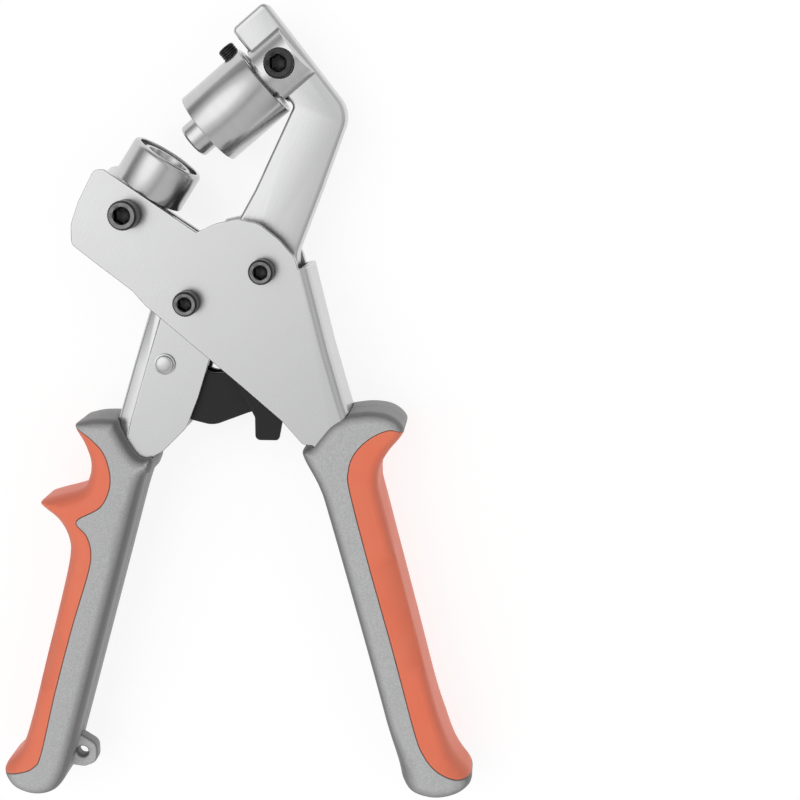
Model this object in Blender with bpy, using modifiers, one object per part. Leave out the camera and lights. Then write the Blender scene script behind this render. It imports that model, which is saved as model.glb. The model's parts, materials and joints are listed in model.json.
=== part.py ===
"""Grommet setter: a hand plier with a punch head on a pivoting jaw and a die cup on a folded frame.

The tool lies flat. X is to the right, Y points to the jaw, Z is up out of the front plate, and every
pivot axis is parallel to Z. All lengths are millimetres measured from the jaw pivot on the face of
the front plate, until place() turns them into metres and puts the origin under the tool.
"""

import math

import bmesh
import bpy
from mathutils import Matrix, Vector
from mathutils.geometry import delaunay_2d_cdt

MM = 0.001
GAP = 0.3

# Depth of the layers, counted down from the face of the front plate.
MID = -12.0
FRAME_DEPTH = 24.0
FRAME_SHEET = 2.5
LEVER_FRONT = -4.9
LEVER_BACK = -19.1
LEVER_SHEET = 2.0
ARM_FRONT = -7.0
ARM_BACK = -17.0
TAIL_FRONT = -9.9
TAIL_BACK = -14.1
LINK_FRONT = (-7.2, -9.6)
LINK_BACK = (-14.4, -16.8)
LATCH_FRONT = -2.8
LATCH_BACK = -4.6

# Pivots in the open position.
JAW_PIVOT = (0.0, 0.0)
LEVER_PIVOT = (-25.8, -10.9)
LINK_RIVET = (-35.5, -33.2)
TAIL_PIN = (2.0, -39.8)
LATCH_PIVOT = (10.8, -27.5)
CATCH_PIN = (-20.8, -24.1)

# The punch and the die share one line when the jaw has closed by CLOSING degrees.
HEAD_ANGLE = -140.3
CLOSING = 16.8
LINE_OFFSET = -48.5
DIE_SCREW_ALONG = 9.7
HEAD_SCREW_ALONG = -48.3


def along(angle, distance, side=LINE_OFFSET):
    """The point at this distance down a punch or die line that turns round the jaw pivot."""
    c = math.cos(math.radians(angle))
    s = math.sin(math.radians(angle))
    return (distance * c - side * s, distance * s + side * c)


DIE_ANGLE = HEAD_ANGLE + CLOSING
DIE_SCREW = along(DIE_ANGLE, DIE_SCREW_ALONG)
HEAD_SCREW = along(HEAD_ANGLE, HEAD_SCREW_ALONG)


# ---------------------------------------------------------------- outlines


def corners(points, steps=3):
    """A closed outline from (x, y) or (x, y, radius) corners, with each radius drawn as an arc."""
    result = []
    count = len(points)
    for i, point in enumerate(points):
        here = Vector(point[:2])
        radius = point[2] if len(point) > 2 else 0.0
        if radius <= 0.0:
            result.append(tuple(here))
            continue
        before = (Vector(points[i - 1][:2]) - here).normalized()
        after = (Vector(points[(i + 1) % count][:2]) - here).normalized()
        half = before.angle(after) / 2.0
        reach = radius / math.tan(half)
        start = here + before * reach
        end = here + after * reach
        centre = here + (before + after).normalized() * (radius / math.sin(half))
        for k in range(steps + 1):
            arm = (start - centre).lerp(end - centre, k / steps).normalized()
            result.append(tuple(centre + arm * radius))
    return result


def smooth(points, steps=3):
    """A closed Catmull-Rom curve through the points."""
    result = []
    count = len(points)
    for i in range(count):
        a, b, c, d = (Vector(points[(i + k - 1) % count]) for k in range(4))
        for k in range(steps):
            t = k / steps
            p = b * 2.0 + (c - a) * t
            p += (a * 2.0 - b * 5.0 + c * 4.0 - d) * t * t
            p += (b * 3.0 - a - c * 3.0 + d) * t * t * t
            result.append(tuple(p * 0.5))
    return result


def circle(centre, radius, segments=24):
    return [
        (
            centre[0] + radius * math.cos(2.0 * math.pi * k / segments),
            centre[1] + radius * math.sin(2.0 * math.pi * k / segments),
        )
        for k in range(segments)
    ]


def area(outline):
    total = 0.0
    for i, (x, y) in enumerate(outline):
        x2, y2 = outline[(i + 1) % len(outline)]
        total += x * y2 - x2 * y
    return total / 2.0


def grown(outline, distance):
    """The outline moved outward by one distance, or one for each point, with mitred corners."""
    turn = 1.0 if area(outline) > 0.0 else -1.0
    result = []
    count = len(outline)
    for i in range(count):
        before = (Vector(outline[i]) - Vector(outline[i - 1])).normalized()
        after = (Vector(outline[(i + 1) % count]) - Vector(outline[i])).normalized()
        n1 = Vector((before.y, -before.x)) * turn
        n2 = Vector((after.y, -after.x)) * turn
        miter = n1 + n2
        miter *= 2.0 / max(miter.length_squared, 0.5)
        reach = distance[i] if isinstance(distance, list) else distance
        result.append(tuple(Vector(outline[i]) + miter * reach))
    return result


def distance_to(outline, p):
    """The distance from p to the nearest side of the outline."""
    best = 1e9
    for i in range(len(outline)):
        a = Vector(outline[i - 1])
        b = Vector(outline[i])
        side = b - a
        t = max(0.0, min(1.0, (p - a).dot(side) / max(side.length_squared, 1e-12)))
        best = min(best, (p - a - side * t).length)
    return best


def inside(outline, p):
    hit = False
    for i in range(len(outline)):
        x1, y1 = outline[i - 1]
        x2, y2 = outline[i]
        if (y1 > p.y) != (y2 > p.y):
            if p.x < (x2 - x1) * (p.y - y1) / (y2 - y1) + x1:
                hit = not hit
    return hit


# ---------------------------------------------------------------- solids


def prism(outline, low, high, soft_edges=None, soft_radius=0.0, soft_steps=4):
    """A flat plate between two heights. Its rim edges picked by soft_edges(a, b) are rounded."""
    shape = bmesh.new()
    rim = outline if area(outline) > 0.0 else list(reversed(outline))
    lower = [shape.verts.new((x, y, min(low, high))) for x, y in rim]
    upper = [shape.verts.new((x, y, max(low, high))) for x, y in rim]
    shape.faces.new(list(reversed(lower)))
    shape.faces.new(upper)
    count = len(rim)
    for i in range(count):
        j = (i + 1) % count
        shape.faces.new((lower[i], lower[j], upper[j], upper[i]))
    if soft_edges:
        chosen = [
            edge
            for edge in shape.edges
            if abs(edge.verts[0].co.z - edge.verts[1].co.z) < 1e-6
            and soft_edges(edge.verts[0].co, edge.verts[1].co)
        ]
        bmesh.ops.bevel(
            shape,
            geom=chosen,
            offset=soft_radius,
            offset_type="OFFSET",
            segments=soft_steps,
            profile=0.5,
            affect="EDGES",
            clamp_overlap=False,
        )
    return shape


def turned(profile, segments=40):
    """A solid of revolution about Z from (radius, height) pairs; an end at radius 0 closes on the axis."""
    shape = bmesh.new()
    rings = []
    for radius, height in profile:
        if radius < 1e-6:
            rings.append([shape.verts.new((0.0, 0.0, height))])
            continue
        rings.append(
            [
                shape.verts.new(
                    (
                        radius * math.cos(2.0 * math.pi * k / segments),
                        radius * math.sin(2.0 * math.pi * k / segments),
                        height,
                    )
                )
                for k in range(segments)
            ]
        )
    pairs = list(zip(rings, rings[1:]))
    if len(rings[0]) > 1 or len(rings[-1]) > 1:
        pairs.append((rings[-1], rings[0]))
    for first, second in pairs:
        for k in range(segments):
            n = (k + 1) % segments
            if len(first) == 1 and len(second) == 1:
                continue
            if len(first) == 1:
                shape.faces.new((first[0], second[n], second[k]))
            elif len(second) == 1:
                shape.faces.new((first[k], first[n], second[0]))
            else:
                shape.faces.new((first[k], first[n], second[n], second[k]))
    bmesh.ops.recalc_face_normals(shape, faces=shape.faces)
    return shape


def cylinder(centre, radius, low, high, segments=24):
    return prism(circle(centre, radius, segments), low, high)


def ring(centre, outer, inner, low, high, chamfer=0.3, segments=28):
    """A flat ring with small chamfers on its outer rims."""
    shape = turned(
        [
            (inner, low),
            (outer - chamfer, low),
            (outer, low + chamfer),
            (outer, high - chamfer),
            (outer - chamfer, high),
            (inner, high),
        ],
        segments,
    )
    bmesh.ops.translate(shape, verts=shape.verts, vec=(centre[0], centre[1], 0.0))
    return shape


def box(low, high):
    return prism(
        [(low[0], low[1]), (high[0], low[1]), (high[0], high[1]), (low[0], high[1])],
        low[2],
        high[2],
    )


def pad(outline, low, high, radius_at, rings=3):
    """A plate whose front and back rims are rolled over by the radius that radius_at(point) gives."""
    rim = outline if area(outline) > 0.0 else list(reversed(outline))
    points = [Vector(p) for p in rim]
    count = len(points)
    edges = [(i, (i + 1) % count) for i in range(count)]
    for k in range(1, rings + 1):
        share = 1.0 - math.cos(math.pi / 2.0 * k / rings)
        insets = [radius_at(Vector(p)) * share for p in rim]
        line = [Vector(p) for p in grown(rim, [-inset for inset in insets])]
        kept = [
            inside(rim, p) and distance_to(rim, p) > inset * 0.97
            for p, inset in zip(line, insets)
        ]
        for i in range(count):
            if not kept[i]:
                continue
            points.append(line[i])
            if kept[i - 1] and i > 0:
                edges.append((len(points) - 2, len(points) - 1))
    found = delaunay_2d_cdt(points, edges, [list(range(count))], 1, 1e-3)
    flat, faces = found[0], found[2]
    shape = bmesh.new()
    top = []
    bottom = []
    for p in flat:
        radius = radius_at(p)
        d = min(distance_to(rim, p), radius)
        rise = math.sqrt(max(0.0, radius * radius - (radius - d) ** 2)) - radius
        top.append(shape.verts.new((p.x, p.y, high + rise)))
        bottom.append(shape.verts.new((p.x, p.y, low - rise)))
    used = set()
    for a, b, c in faces:
        used.update(((a, b), (b, c), (c, a)))
        shape.faces.new((top[a], top[b], top[c]))
        shape.faces.new((bottom[c], bottom[b], bottom[a]))
    for i, j in used:
        if (j, i) not in used:
            shape.faces.new((top[j], top[i], bottom[i], bottom[j]))
    loose = [v for v in shape.verts if not v.link_faces]
    bmesh.ops.delete(shape, geom=loose, context="VERTS")
    bmesh.ops.recalc_face_normals(shape, faces=shape.faces)
    return shape


def laid(shape, angle, distance, side=LINE_OFFSET):
    """Turns a solid built about Z so that its height runs down a punch or die line."""
    x, y = along(angle, distance, side)
    turn = Matrix.Rotation(math.radians(angle), 4, "Z") @ Matrix.Rotation(math.pi / 2.0, 4, "Y")
    bmesh.ops.transform(shape, verts=shape.verts, matrix=Matrix.Translation((x, y, MID)) @ turn)
    return shape


def moved(shape, vec):
    bmesh.ops.translate(shape, verts=shape.verts, vec=vec)
    return shape


def joined(*shapes):
    """Loose shapes in one cutter mesh."""
    whole = bmesh.new()
    for shape in shapes:
        mesh = bpy.data.meshes.new("joined")
        shape.to_mesh(mesh)
        shape.free()
        whole.from_mesh(mesh)
        bpy.data.meshes.remove(mesh)
    return whole


# ---------------------------------------------------------------- scene


def clear():
    for obj in list(bpy.data.objects):
        bpy.data.objects.remove(obj, do_unlink=True)


def collection(name, hidden=False):
    made = bpy.data.collections.new(name)
    bpy.context.scene.collection.children.link(made)
    made.hide_render = hidden
    return made


def material(name, colour, metallic, roughness):
    made = bpy.data.materials.new(name)
    made.use_nodes = True
    shader = made.node_tree.nodes["Principled BSDF"]
    shader.inputs["Base Color"].default_value = (*colour, 1.0)
    shader.inputs["Metallic"].default_value = metallic
    shader.inputs["Roughness"].default_value = roughness
    made.diffuse_color = (*colour, 1.0)
    return made


def body(name, pivot, root):
    """An empty on a joint axis. Its pieces are measured from it."""
    axis = bpy.data.objects.new(name, None)
    axis.empty_display_size = 0.01
    axis.location = Vector((pivot[0], pivot[1], MID)) * MM
    axis.parent = root
    PARTS.objects.link(axis)
    axis["pivot"] = (pivot[0], pivot[1], MID)
    return axis


def mesh_object(name, shape, parent, where):
    pivot = Vector(parent["pivot"])
    bmesh.ops.translate(shape, verts=shape.verts, vec=-pivot)
    bmesh.ops.scale(shape, verts=shape.verts, vec=(MM, MM, MM))
    mesh = bpy.data.meshes.new(name)
    shape.to_mesh(mesh)
    shape.free()
    obj = bpy.data.objects.new(name, mesh)
    obj.parent = parent
    where.objects.link(obj)
    return obj


def piece(name, shape, parent, look, bevel=0.0, cuts=(), round_piece=False, adds=()):
    """One named part, with its Boolean cuts and a small bevel."""
    obj = mesh_object(name, shape, parent, PARTS)
    obj.data.materials.append(look)
    if round_piece:
        obj.data.polygons.foreach_set("use_smooth", [True] * len(obj.data.polygons))
        obj.data.set_sharp_from_angle(angle=math.radians(35.0))
    for i, (operation, other) in enumerate(
        [("UNION", s) for s in adds] + [("DIFFERENCE", s) for s in cuts]
    ):
        tool = mesh_object(f"cut_{name}_{i}", other, parent, CUTTERS)
        tool.hide_render = True
        tool.display_type = "WIRE"
        boolean = obj.modifiers.new(f"cut {i}", "BOOLEAN")
        boolean.operation = operation
        boolean.solver = "EXACT"
        boolean.object = tool
    if bevel > 0.0:
        soft = obj.modifiers.new("edges", "BEVEL")
        soft.width = bevel * MM
        soft.segments = 1
        soft.limit_method = "ANGLE"
        soft.angle_limit = math.radians(50.0)
    return obj


# ---------------------------------------------------------------- outlines of the sheet parts

# The frame plate, from the corner over the die, down the left side, along the lower edge to its
# tip, then the tang inside the fixed handle, back up the folded side and round the jaw pivot.
FRAME_WEB = [(15.2, 1.3), (22.0, -27.0), (27.2, -45.6)]
FRAME_TANG_RIGHT = [(32.4, -62.0), (35.6, -75.0), (51.2, -138.0)]
FRAME_TANG_LEFT = [(41.0, -140.5), (25.2, -75.0)]
FRAME_PLATE = (
    [
        (-53.4, 33.5, 1.0),
        (-56.6, 33.4, 2.5),
        (-62.4, 22.6, 14.0),
        (-65.2, 15.0, 10.0),
        (-65.2, 8.4, 2.5),
        (-57.1, 2.0, 12.0),
        (-45.0, -7.2, 3.0),
        (-40.4, -12.4, 3.0),
        (-8.7, -39.3),
        (5.6, -51.8, 10.0),
        (12.6, -59.8, 1.0),
        (16.2, -60.2, 1.0),
    ]
    + [(x, y, 0.0) for x, y in reversed(FRAME_TANG_LEFT)]
    + [(x, y, 0.0) for x, y in reversed(FRAME_TANG_RIGHT)]
    + [(x, y, 0.0) for x, y in reversed(FRAME_WEB)]
    + [
        (12.6, 0.9, 0.6),
        (10.6, 4.4, 4.0),
        (5.6, 10.2, 8.0),
        (-1.2, 15.6, 8.0),
        (-8.6, 17.2, 8.0),
        (-16.0, 15.6, 8.0),
        (-22.4, 12.6, 0.8),
    ]
)
FRAME_RIGHT_SIDE = FRAME_WEB + FRAME_TANG_RIGHT

# The lever plate, from the folded side down the tang, then back up the open side.
LEVER_WEB = [(-38.4, -7.6), (-46.6, -33.0), (-52.9, -53.0)]
LEVER_TANG_LEFT = [(-59.0, -78.0), (-77.6, -141.5)]
LEVER_PLATE = (
    [(x, y, 0.0) for x, y in LEVER_WEB]
    + [(x, y, 0.0) for x, y in LEVER_TANG_LEFT]
    + [
        (-67.6, -144.0),
        (-49.0, -79.5),
        (-43.4, -66.6, 3.0),
        (-36.4, -61.4, 4.0),
        (-28.6, -55.6, 6.0),
        (-24.3, -45.0, 20.0),
        (-19.9, -31.3, 3.0),
        (-16.2, -26.4, 3.0),
        (-14.2, -13.0, 8.0),
        (-15.6, -1.2, 8.0),
        (-28.0, 1.8, 12.0),
        (-37.0, -1.6, 5.0),
    ]
)
LEVER_LEFT_SIDE = LEVER_WEB + LEVER_TANG_LEFT

ARM_SIDE_INNER = -42.4
ARM_SIDE_OUTER = -57.0
ARM_END = -67.6
ARM_PLATE = [
    (*along(HEAD_ANGLE, ARM_SIDE_INNER, ARM_END), 2.0),
    (*along(HEAD_ANGLE, ARM_SIDE_INNER, -35.4), 1.0),
    (-3.6, 26.4, 12.0),
    (-11.6, 12.4, 8.0),
    (-10.4, -9.0, 10.0),
    (-5.4, -26.0, 6.0),
    (-4.6, -46.0, 6.2),
    (8.4, -46.4, 6.2),
    (8.4, -26.0, 6.0),
    (10.6, -8.0, 10.0),
    (10.8, 5.4, 8.0),
    (19.2, 26.5, 20.0),
    (28.2, 49.0, 10.0),
    (28.2, 56.0, 3.0),
    (*along(HEAD_ANGLE, ARM_SIDE_OUTER, ARM_END), 1.8),
]

LINK_PLATE = [
    (-42.4, -34.4, 5.5),
    (-36.0, -46.6, 10.0),
    (-27.6, -53.2, 6.0),
    (-19.6, -55.2, 9.0),
    (-6.6, -50.2, 20.0),
    (6.4, -47.4, 5.6),
    (9.4, -37.0, 5.6),
    (1.6, -32.2, 5.6),
    (-9.0, -36.2, 10.0),
    (-21.4, -36.8, 6.0),
    (-28.2, -27.4, 5.5),
    (-39.4, -25.4, 5.5),
]

LATCH_PLATE = [
    (-10.8, -38.6, 1.0),
    (-5.6, -48.4, 3.0),
    (-4.2, -51.2, 1.5),
    (-4.2, -59.2, 1.8),
    (4.0, -59.2, 1.4),
    (5.4, -52.0, 2.0),
    (14.2, -37.0, 6.0),
    (17.6, -26.0, 5.0),
    (11.4, -20.6, 4.0),
    (2.0, -16.8, 6.0),
    (-15.6, -7.4, 1.0),
    (-17.3, -14.4, 0.7),
    (-15.1, -15.5, 0.6),
    (-13.8, -11.9, 0.6),
    (-3.2, -17.4, 4.0),
    (-3.2, -27.0, 6.0),
]

# Handles: the outline of the whole handle, and the line that parts the soft panel from it.
LEVER_HANDLE = [
    (-67.2, -54.8),
    (-63.4, -52.2),
    (-59.0, -50.8),
    (-52.6, -51.4),
    (-51.8, -55.0),
    (-49.3, -60.6),
    (-46.4, -65.0),
    (-43.8, -66.4),
    (-41.4, -66.2),
    (-40.6, -68.2),
    (-41.8, -71.6),
    (-44.4, -76.0),
    (-53.2, -106.6),
    (-62.9, -140.4),
    (-71.6, -170.6),
    (-76.0, -184.6),
    (-81.4, -191.8),
    (-88.4, -194.4),
    (-95.8, -191.4),
    (-99.5, -186.0),
    (-98.4, -181.6),
    (-92.4, -175.0),
    (-88.1, -163.2),
    (-82.0, -141.2),
    (-75.8, -119.1),
    (-71.8, -103.0),
    (-71.9, -95.6),
    (-75.0, -89.4),
    (-80.4, -84.4),
    (-80.6, -81.8),
    (-77.2, -80.2),
    (-66.8, -77.2),
    (-63.4, -73.6),
    (-62.4, -67.6),
    (-64.3, -61.2),
]
LEVER_PANEL_LINE = [
    (-66.2, -52.6),
    (-61.0, -58.4),
    (-56.8, -63.9),
    (-54.8, -71.1),
    (-55.4, -77.4),
    (-59.0, -83.6),
    (-67.4, -88.6),
    (-64.0, -93.6),
    (-62.6, -99.6),
    (-63.9, -107.4),
    (-70.7, -128.3),
    (-77.8, -152.5),
    (-84.0, -176.2),
    (-87.0, -181.4),
    (-91.6, -183.6),
    (-101.0, -185.4),
]
LEVER_PANEL_FAR = [(-112.0, -180.0), (-112.0, -48.0), (-72.0, -48.0)]

FIXED_HANDLE = [
    (27.2, -49.6),
    (31.2, -48.7),
    (36.0, -48.3),
    (41.4, -49.0),
    (45.2, -51.1),
    (47.4, -54.2),
    (46.1, -57.3),
    (42.0, -62.3),
    (39.2, -67.6),
    (38.6, -73.6),
    (40.2, -81.4),
    (50.6, -122.2),
    (58.0, -152.0),
    (62.0, -164.4),
    (64.8, -171.4),
    (67.6, -176.0),
    (70.6, -179.8),
    (71.8, -183.0),
    (70.4, -186.6),
    (65.6, -190.0),
    (58.2, -191.5),
    (50.6, -189.5),
    (46.9, -184.6),
    (44.5, -174.2),
    (34.6, -135.4),
    (21.7, -87.3),
    (18.0, -75.4),
    (13.2, -66.0),
    (12.4, -62.4),
    (15.4, -60.4),
    (17.8, -57.4),
    (22.0, -52.6),
]
FIXED_PANEL_LINE = [
    (55.0, -54.4),
    (47.4, -53.6),
    (43.0, -53.4),
    (37.9, -55.6),
    (33.4, -59.1),
    (30.0, -63.4),
    (28.5, -68.4),
    (28.8, -75.4),
    (35.3, -101.9),
    (43.6, -132.9),
    (51.4, -163.6),
    (54.6, -172.0),
    (58.6, -177.4),
    (64.0, -180.9),
    (69.0, -181.9),
    (75.4, -180.8),
]
FIXED_PANEL_FAR = [(84.0, -178.0), (84.0, -52.0)]

HANDLE_ROLL = 5.0
BUTT_ROLL = 10.0
BUTT_START = -160.0
BUTT_END = -182.0
LEVER_HANDLE_FRONT = 1.0
LEVER_HANDLE_BACK = -25.0
FIXED_HANDLE_FRONT = 2.2
FIXED_HANDLE_BACK = -26.2
HANGING_EYE = (-71.6, -179.2)


def near_line(line, reach=0.05):
    """A test for rim edges that lie on an open line of points."""

    def test(a, b):
        for p in (a, b):
            best = 1e9
            for i in range(1, len(line)):
                start = Vector(line[i - 1])
                side = Vector(line[i]) - start
                t = (Vector((p.x, p.y)) - start).dot(side) / side.length_squared
                t = max(0.0, min(1.0, t))
                best = min(best, (Vector((p.x, p.y)) - start - side * t).length)
            if best > reach:
                return False
        return True

    return test


def moved_line(line, distance):
    """An open line moved to its left by a distance."""
    result = []
    for i, point in enumerate(line):
        before = Vector(line[max(i - 1, 0)])
        after = Vector(line[min(i + 1, len(line) - 1)])
        step = (after - before).normalized()
        result.append((point[0] - step.y * distance, point[1] + step.x * distance))
    return result


# ---------------------------------------------------------------- frame body


def add_frame_channel(parent):
    """Two plates and the folded side that joins them, bent from one sheet."""
    outline = corners(FRAME_PLATE)
    shape = prism(outline, 0.0, -FRAME_DEPTH, near_line(FRAME_RIGHT_SIDE), 3.4)
    inner_side = moved_line(FRAME_RIGHT_SIDE, -FRAME_SHEET)
    hollow = [(inner_side[0][0], 40.0)] + inner_side + [(48.0, -160.0), (-90.0, -160.0), (-90.0, 40.0)]
    inner = prism(
        hollow,
        -FRAME_SHEET,
        FRAME_SHEET - FRAME_DEPTH,
        near_line(inner_side),
        1.0,
        2,
    )
    holes = joined(
        cylinder(JAW_PIVOT, 2.8, 1.0, -FRAME_DEPTH - 1.0),
        cylinder(LEVER_PIVOT, 2.8, 1.0, -FRAME_DEPTH - 1.0),
        cylinder(DIE_SCREW, 3.3, 1.0, -FRAME_DEPTH - 1.0),
        cylinder(LATCH_PIVOT, 2.3, -1.0, -FRAME_SHEET - 1.0),
    )
    piece("frame_channel", shape, parent, NICKEL, bevel=0.35, cuts=(inner, holes))


def socket_screw(name, centre, size, head_radius, head_height, seat, end, socket, parent):
    """A cap screw: chamfered head with a hexagon socket, and a plain shank."""
    top = seat + head_height
    shape = turned(
        [
            (0.0, end),
            (size / 2.0 - 0.4, end),
            (size / 2.0, end + 0.4),
            (size / 2.0, seat),
            (head_radius - 0.15, seat),
            (head_radius, seat + 0.15),
            (head_radius, top - 0.5),
            (head_radius - 0.5, top),
            (0.0, top),
        ],
        28,
    )
    moved(shape, (centre[0], centre[1], 0.0))
    hexagon = prism(
        circle(centre, socket / 2.0 / math.cos(math.pi / 6.0), 6),
        top + 1.0,
        top - head_height * 0.55,
    )
    return piece(name, shape, parent, BLACK_OXIDE, cuts=(hexagon,), round_piece=True)


def thin_nut(name, centre, size, flats, high, low, parent):
    outline = circle(centre, flats / 2.0 / math.cos(math.pi / 6.0), 6)
    hole = cylinder(centre, size / 2.0 + 0.2, high + 1.0, low - 1.0, 24)
    return piece(name, prism(outline, low, high), parent, BLACK_OXIDE, bevel=0.35, cuts=(hole,))


def split_washer(name, centre, size, outer, low, high, parent):
    """A spring washer: a flat ring with a narrow slanted cut."""
    shape = ring(centre, outer, size / 2.0 + 0.2, low, high, 0.15, 28)
    cut = prism(
        [
            (centre[0] + 0.5, centre[1] + size / 2.0 - 1.0),
            (centre[0] + 1.1, centre[1] + size / 2.0 - 1.0),
            (centre[0] + 1.7, centre[1] + outer + 1.0),
            (centre[0] + 1.1, centre[1] + outer + 1.0),
        ],
        low - 0.5,
        high + 0.5,
    )
    return piece(name, shape, parent, BLACK_OXIDE, cuts=(cut,), round_piece=True)


def add_frame_screws(parent):
    back = -FRAME_DEPTH - GAP
    socket_screw("jaw_pivot_screw", JAW_PIVOT, 5.0, 4.25, 5.0, 1.8, back - 3.1, 4.0, parent)
    split_washer("jaw_pivot_spring_washer", JAW_PIVOT, 5.0, 4.25, GAP, 1.5, parent)
    thin_nut("jaw_pivot_nut", JAW_PIVOT, 5.0, 8.0, back, back - 2.7, parent)
    socket_screw("lever_pivot_screw", LEVER_PIVOT, 5.0, 4.25, 5.0, 1.8, back - 3.1, 4.0, parent)
    split_washer("lever_pivot_spring_washer", LEVER_PIVOT, 5.0, 4.25, GAP, 1.5, parent)
    thin_nut("lever_pivot_nut", LEVER_PIVOT, 5.0, 8.0, back, back - 2.7, parent)
    socket_screw("die_screw", DIE_SCREW, 6.0, 5.0, 6.0, 2.0, back - 3.2, 5.0, parent)
    split_washer("die_screw_spring_washer", DIE_SCREW, 6.0, 5.0, GAP, 1.7, parent)
    thin_nut("die_screw_nut", DIE_SCREW, 6.0, 10.0, back, back - 3.1, parent)


def add_pivot_bushings(parent):
    """Sleeves that the plates clamp, and the spacer rings either side of the moving pieces."""
    inner = (-FRAME_SHEET - GAP, FRAME_SHEET - FRAME_DEPTH + GAP)
    piece(
        "jaw_pivot_bushing",
        ring(JAW_PIVOT, 5.0, 2.7, inner[1], inner[0]),
        parent,
        STEEL,
        round_piece=True,
    )
    piece(
        "lever_pivot_bushing",
        ring(LEVER_PIVOT, 4.5, 2.7, inner[1], inner[0]),
        parent,
        STEEL,
        round_piece=True,
    )
    piece(
        "jaw_spacer_front",
        ring(JAW_PIVOT, 8.0, 5.3, ARM_FRONT + GAP, inner[0]),
        parent,
        STEEL,
        round_piece=True,
    )
    piece(
        "jaw_spacer_back",
        ring(JAW_PIVOT, 8.0, 5.3, inner[1], ARM_BACK - GAP),
        parent,
        STEEL,
        round_piece=True,
    )
    piece(
        "lever_spacer_front",
        ring(LEVER_PIVOT, 6.5, 4.8, LEVER_FRONT + GAP, inner[0]),
        parent,
        STEEL,
        round_piece=True,
    )
    piece(
        "lever_spacer_back",
        ring(LEVER_PIVOT, 6.5, 4.8, inner[1], LEVER_BACK - GAP),
        parent,
        STEEL,
        round_piece=True,
    )


# Heights down the die line: the mouth is nearest the punch.
DIE_MOUTH = -12.7
DIE_BASE = 1.3
DIE_STEM_END = 19.0
DIE_RADIUS = 12.75
RING_BORE = 7.1
RING_LIP = -12.0


def add_die(parent):
    """The die cup on a round stem that the plates clamp, and the curling ring pressed into it."""
    cup = turned(
        [
            (0.0, DIE_STEM_END),
            (8.4, DIE_STEM_END),
            (9.0, DIE_STEM_END - 0.8),
            (9.0, DIE_BASE),
            (DIE_RADIUS - 0.6, DIE_BASE),
            (DIE_RADIUS, DIE_BASE - 0.6),
            (DIE_RADIUS, DIE_MOUTH + 0.5),
            (DIE_RADIUS - 0.5, DIE_MOUTH),
            (DIE_RADIUS - 1.4, DIE_MOUTH),
            (DIE_RADIUS - 1.8, DIE_MOUTH + 0.5),
            (DIE_RADIUS - 1.8, -5.4),
            (6.6, -5.4),
            (6.6, -2.6),
            (0.0, -2.6),
        ],
        48,
    )
    laid(cup, DIE_ANGLE, 0.0)
    hole = cylinder(DIE_SCREW, 3.3, 5.0, -30.0)
    piece("die_cup", cup, parent, TURNED_STEEL, cuts=(hole,), round_piece=True)
    anvil = turned(
        [
            (RING_BORE, -5.7),
            (DIE_RADIUS - 2.1, -5.7),
            (DIE_RADIUS - 2.1, -8.6),
            (DIE_RADIUS - 2.6, -8.9),
            (DIE_RADIUS - 3.3, -8.6),
            (DIE_RADIUS - 3.9, -8.3),
            (DIE_RADIUS - 4.5, -9.0),
            (RING_BORE + 0.8, -11.6),
            (RING_BORE + 0.5, RING_LIP),
            (RING_BORE, RING_LIP),
        ],
        40,
    )
    laid(anvil, DIE_ANGLE, 0.0)
    piece("die_curling_ring", anvil, parent, TURNED_STEEL, round_piece=True)


def add_latch_pin(parent):
    """A headed stud fixed in a blind hole in the back of the front plate."""
    pin = turned(
        [
            (0.0, -5.8),
            (3.2, -5.8),
            (3.6, -5.5),
            (3.6, -4.9),
            (2.0, -4.9),
            (2.0, -1.3),
            (0.0, -1.3),
        ],
        24,
    )
    moved(pin, (LATCH_PIVOT[0], LATCH_PIVOT[1], 0.0))
    piece("latch_pin", pin, parent, STEEL, round_piece=True)


# ---------------------------------------------------------------- handles


def even_roll(point):
    return HANDLE_ROLL


def butt_roll(point):
    """The roll grows over the butt end of the handle."""
    t = max(0.0, min(1.0, (BUTT_START - point.y) / (BUTT_START - BUTT_END)))
    return HANDLE_ROLL + (BUTT_ROLL - HANDLE_ROLL) * t * t * (3.0 - 2.0 * t)


def add_handle(
    name, outline, line, far, front, back, roll, cavity, parent, adds=(), extra=()
):
    """A handle and its soft side panel, parted along a line and hollow round the tang."""
    rim = smooth(outline, 2)
    parting = corners([(x, y, 0.0) for x, y in line + far])
    side = prism(parting, front + 5.0, back - 5.0)
    piece(
        f"{name}_grip",
        pad(rim, back, front, roll),
        parent,
        GRIP_GREY,
        cuts=(side, cavity()) + tuple(extra),
        adds=adds,
        round_piece=True,
    )
    kept = prism(grown(parting, -GAP), front + 6.0, back - 6.0)
    panel = piece(
        f"{name}_grip_panel",
        pad(rim, back, front, roll),
        parent,
        PANEL_ORANGE,
        cuts=(cavity(),),
        round_piece=True,
    )
    tool = mesh_object(f"keep_{name}_panel", kept, parent, CUTTERS)
    tool.hide_render = True
    tool.display_type = "WIRE"
    keep = panel.modifiers.new("keep", "BOOLEAN")
    keep.operation = "INTERSECT"
    keep.solver = "EXACT"
    keep.object = tool
    return panel


def add_fixed_handle(parent):
    def cavity():
        return prism(grown(corners(FRAME_PLATE), GAP), GAP, -FRAME_DEPTH - GAP)

    add_handle(
        "fixed",
        FIXED_HANDLE,
        FIXED_PANEL_LINE,
        FIXED_PANEL_FAR,
        FIXED_HANDLE_FRONT,
        FIXED_HANDLE_BACK,
        butt_roll,
        cavity,
        parent,
    )


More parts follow.
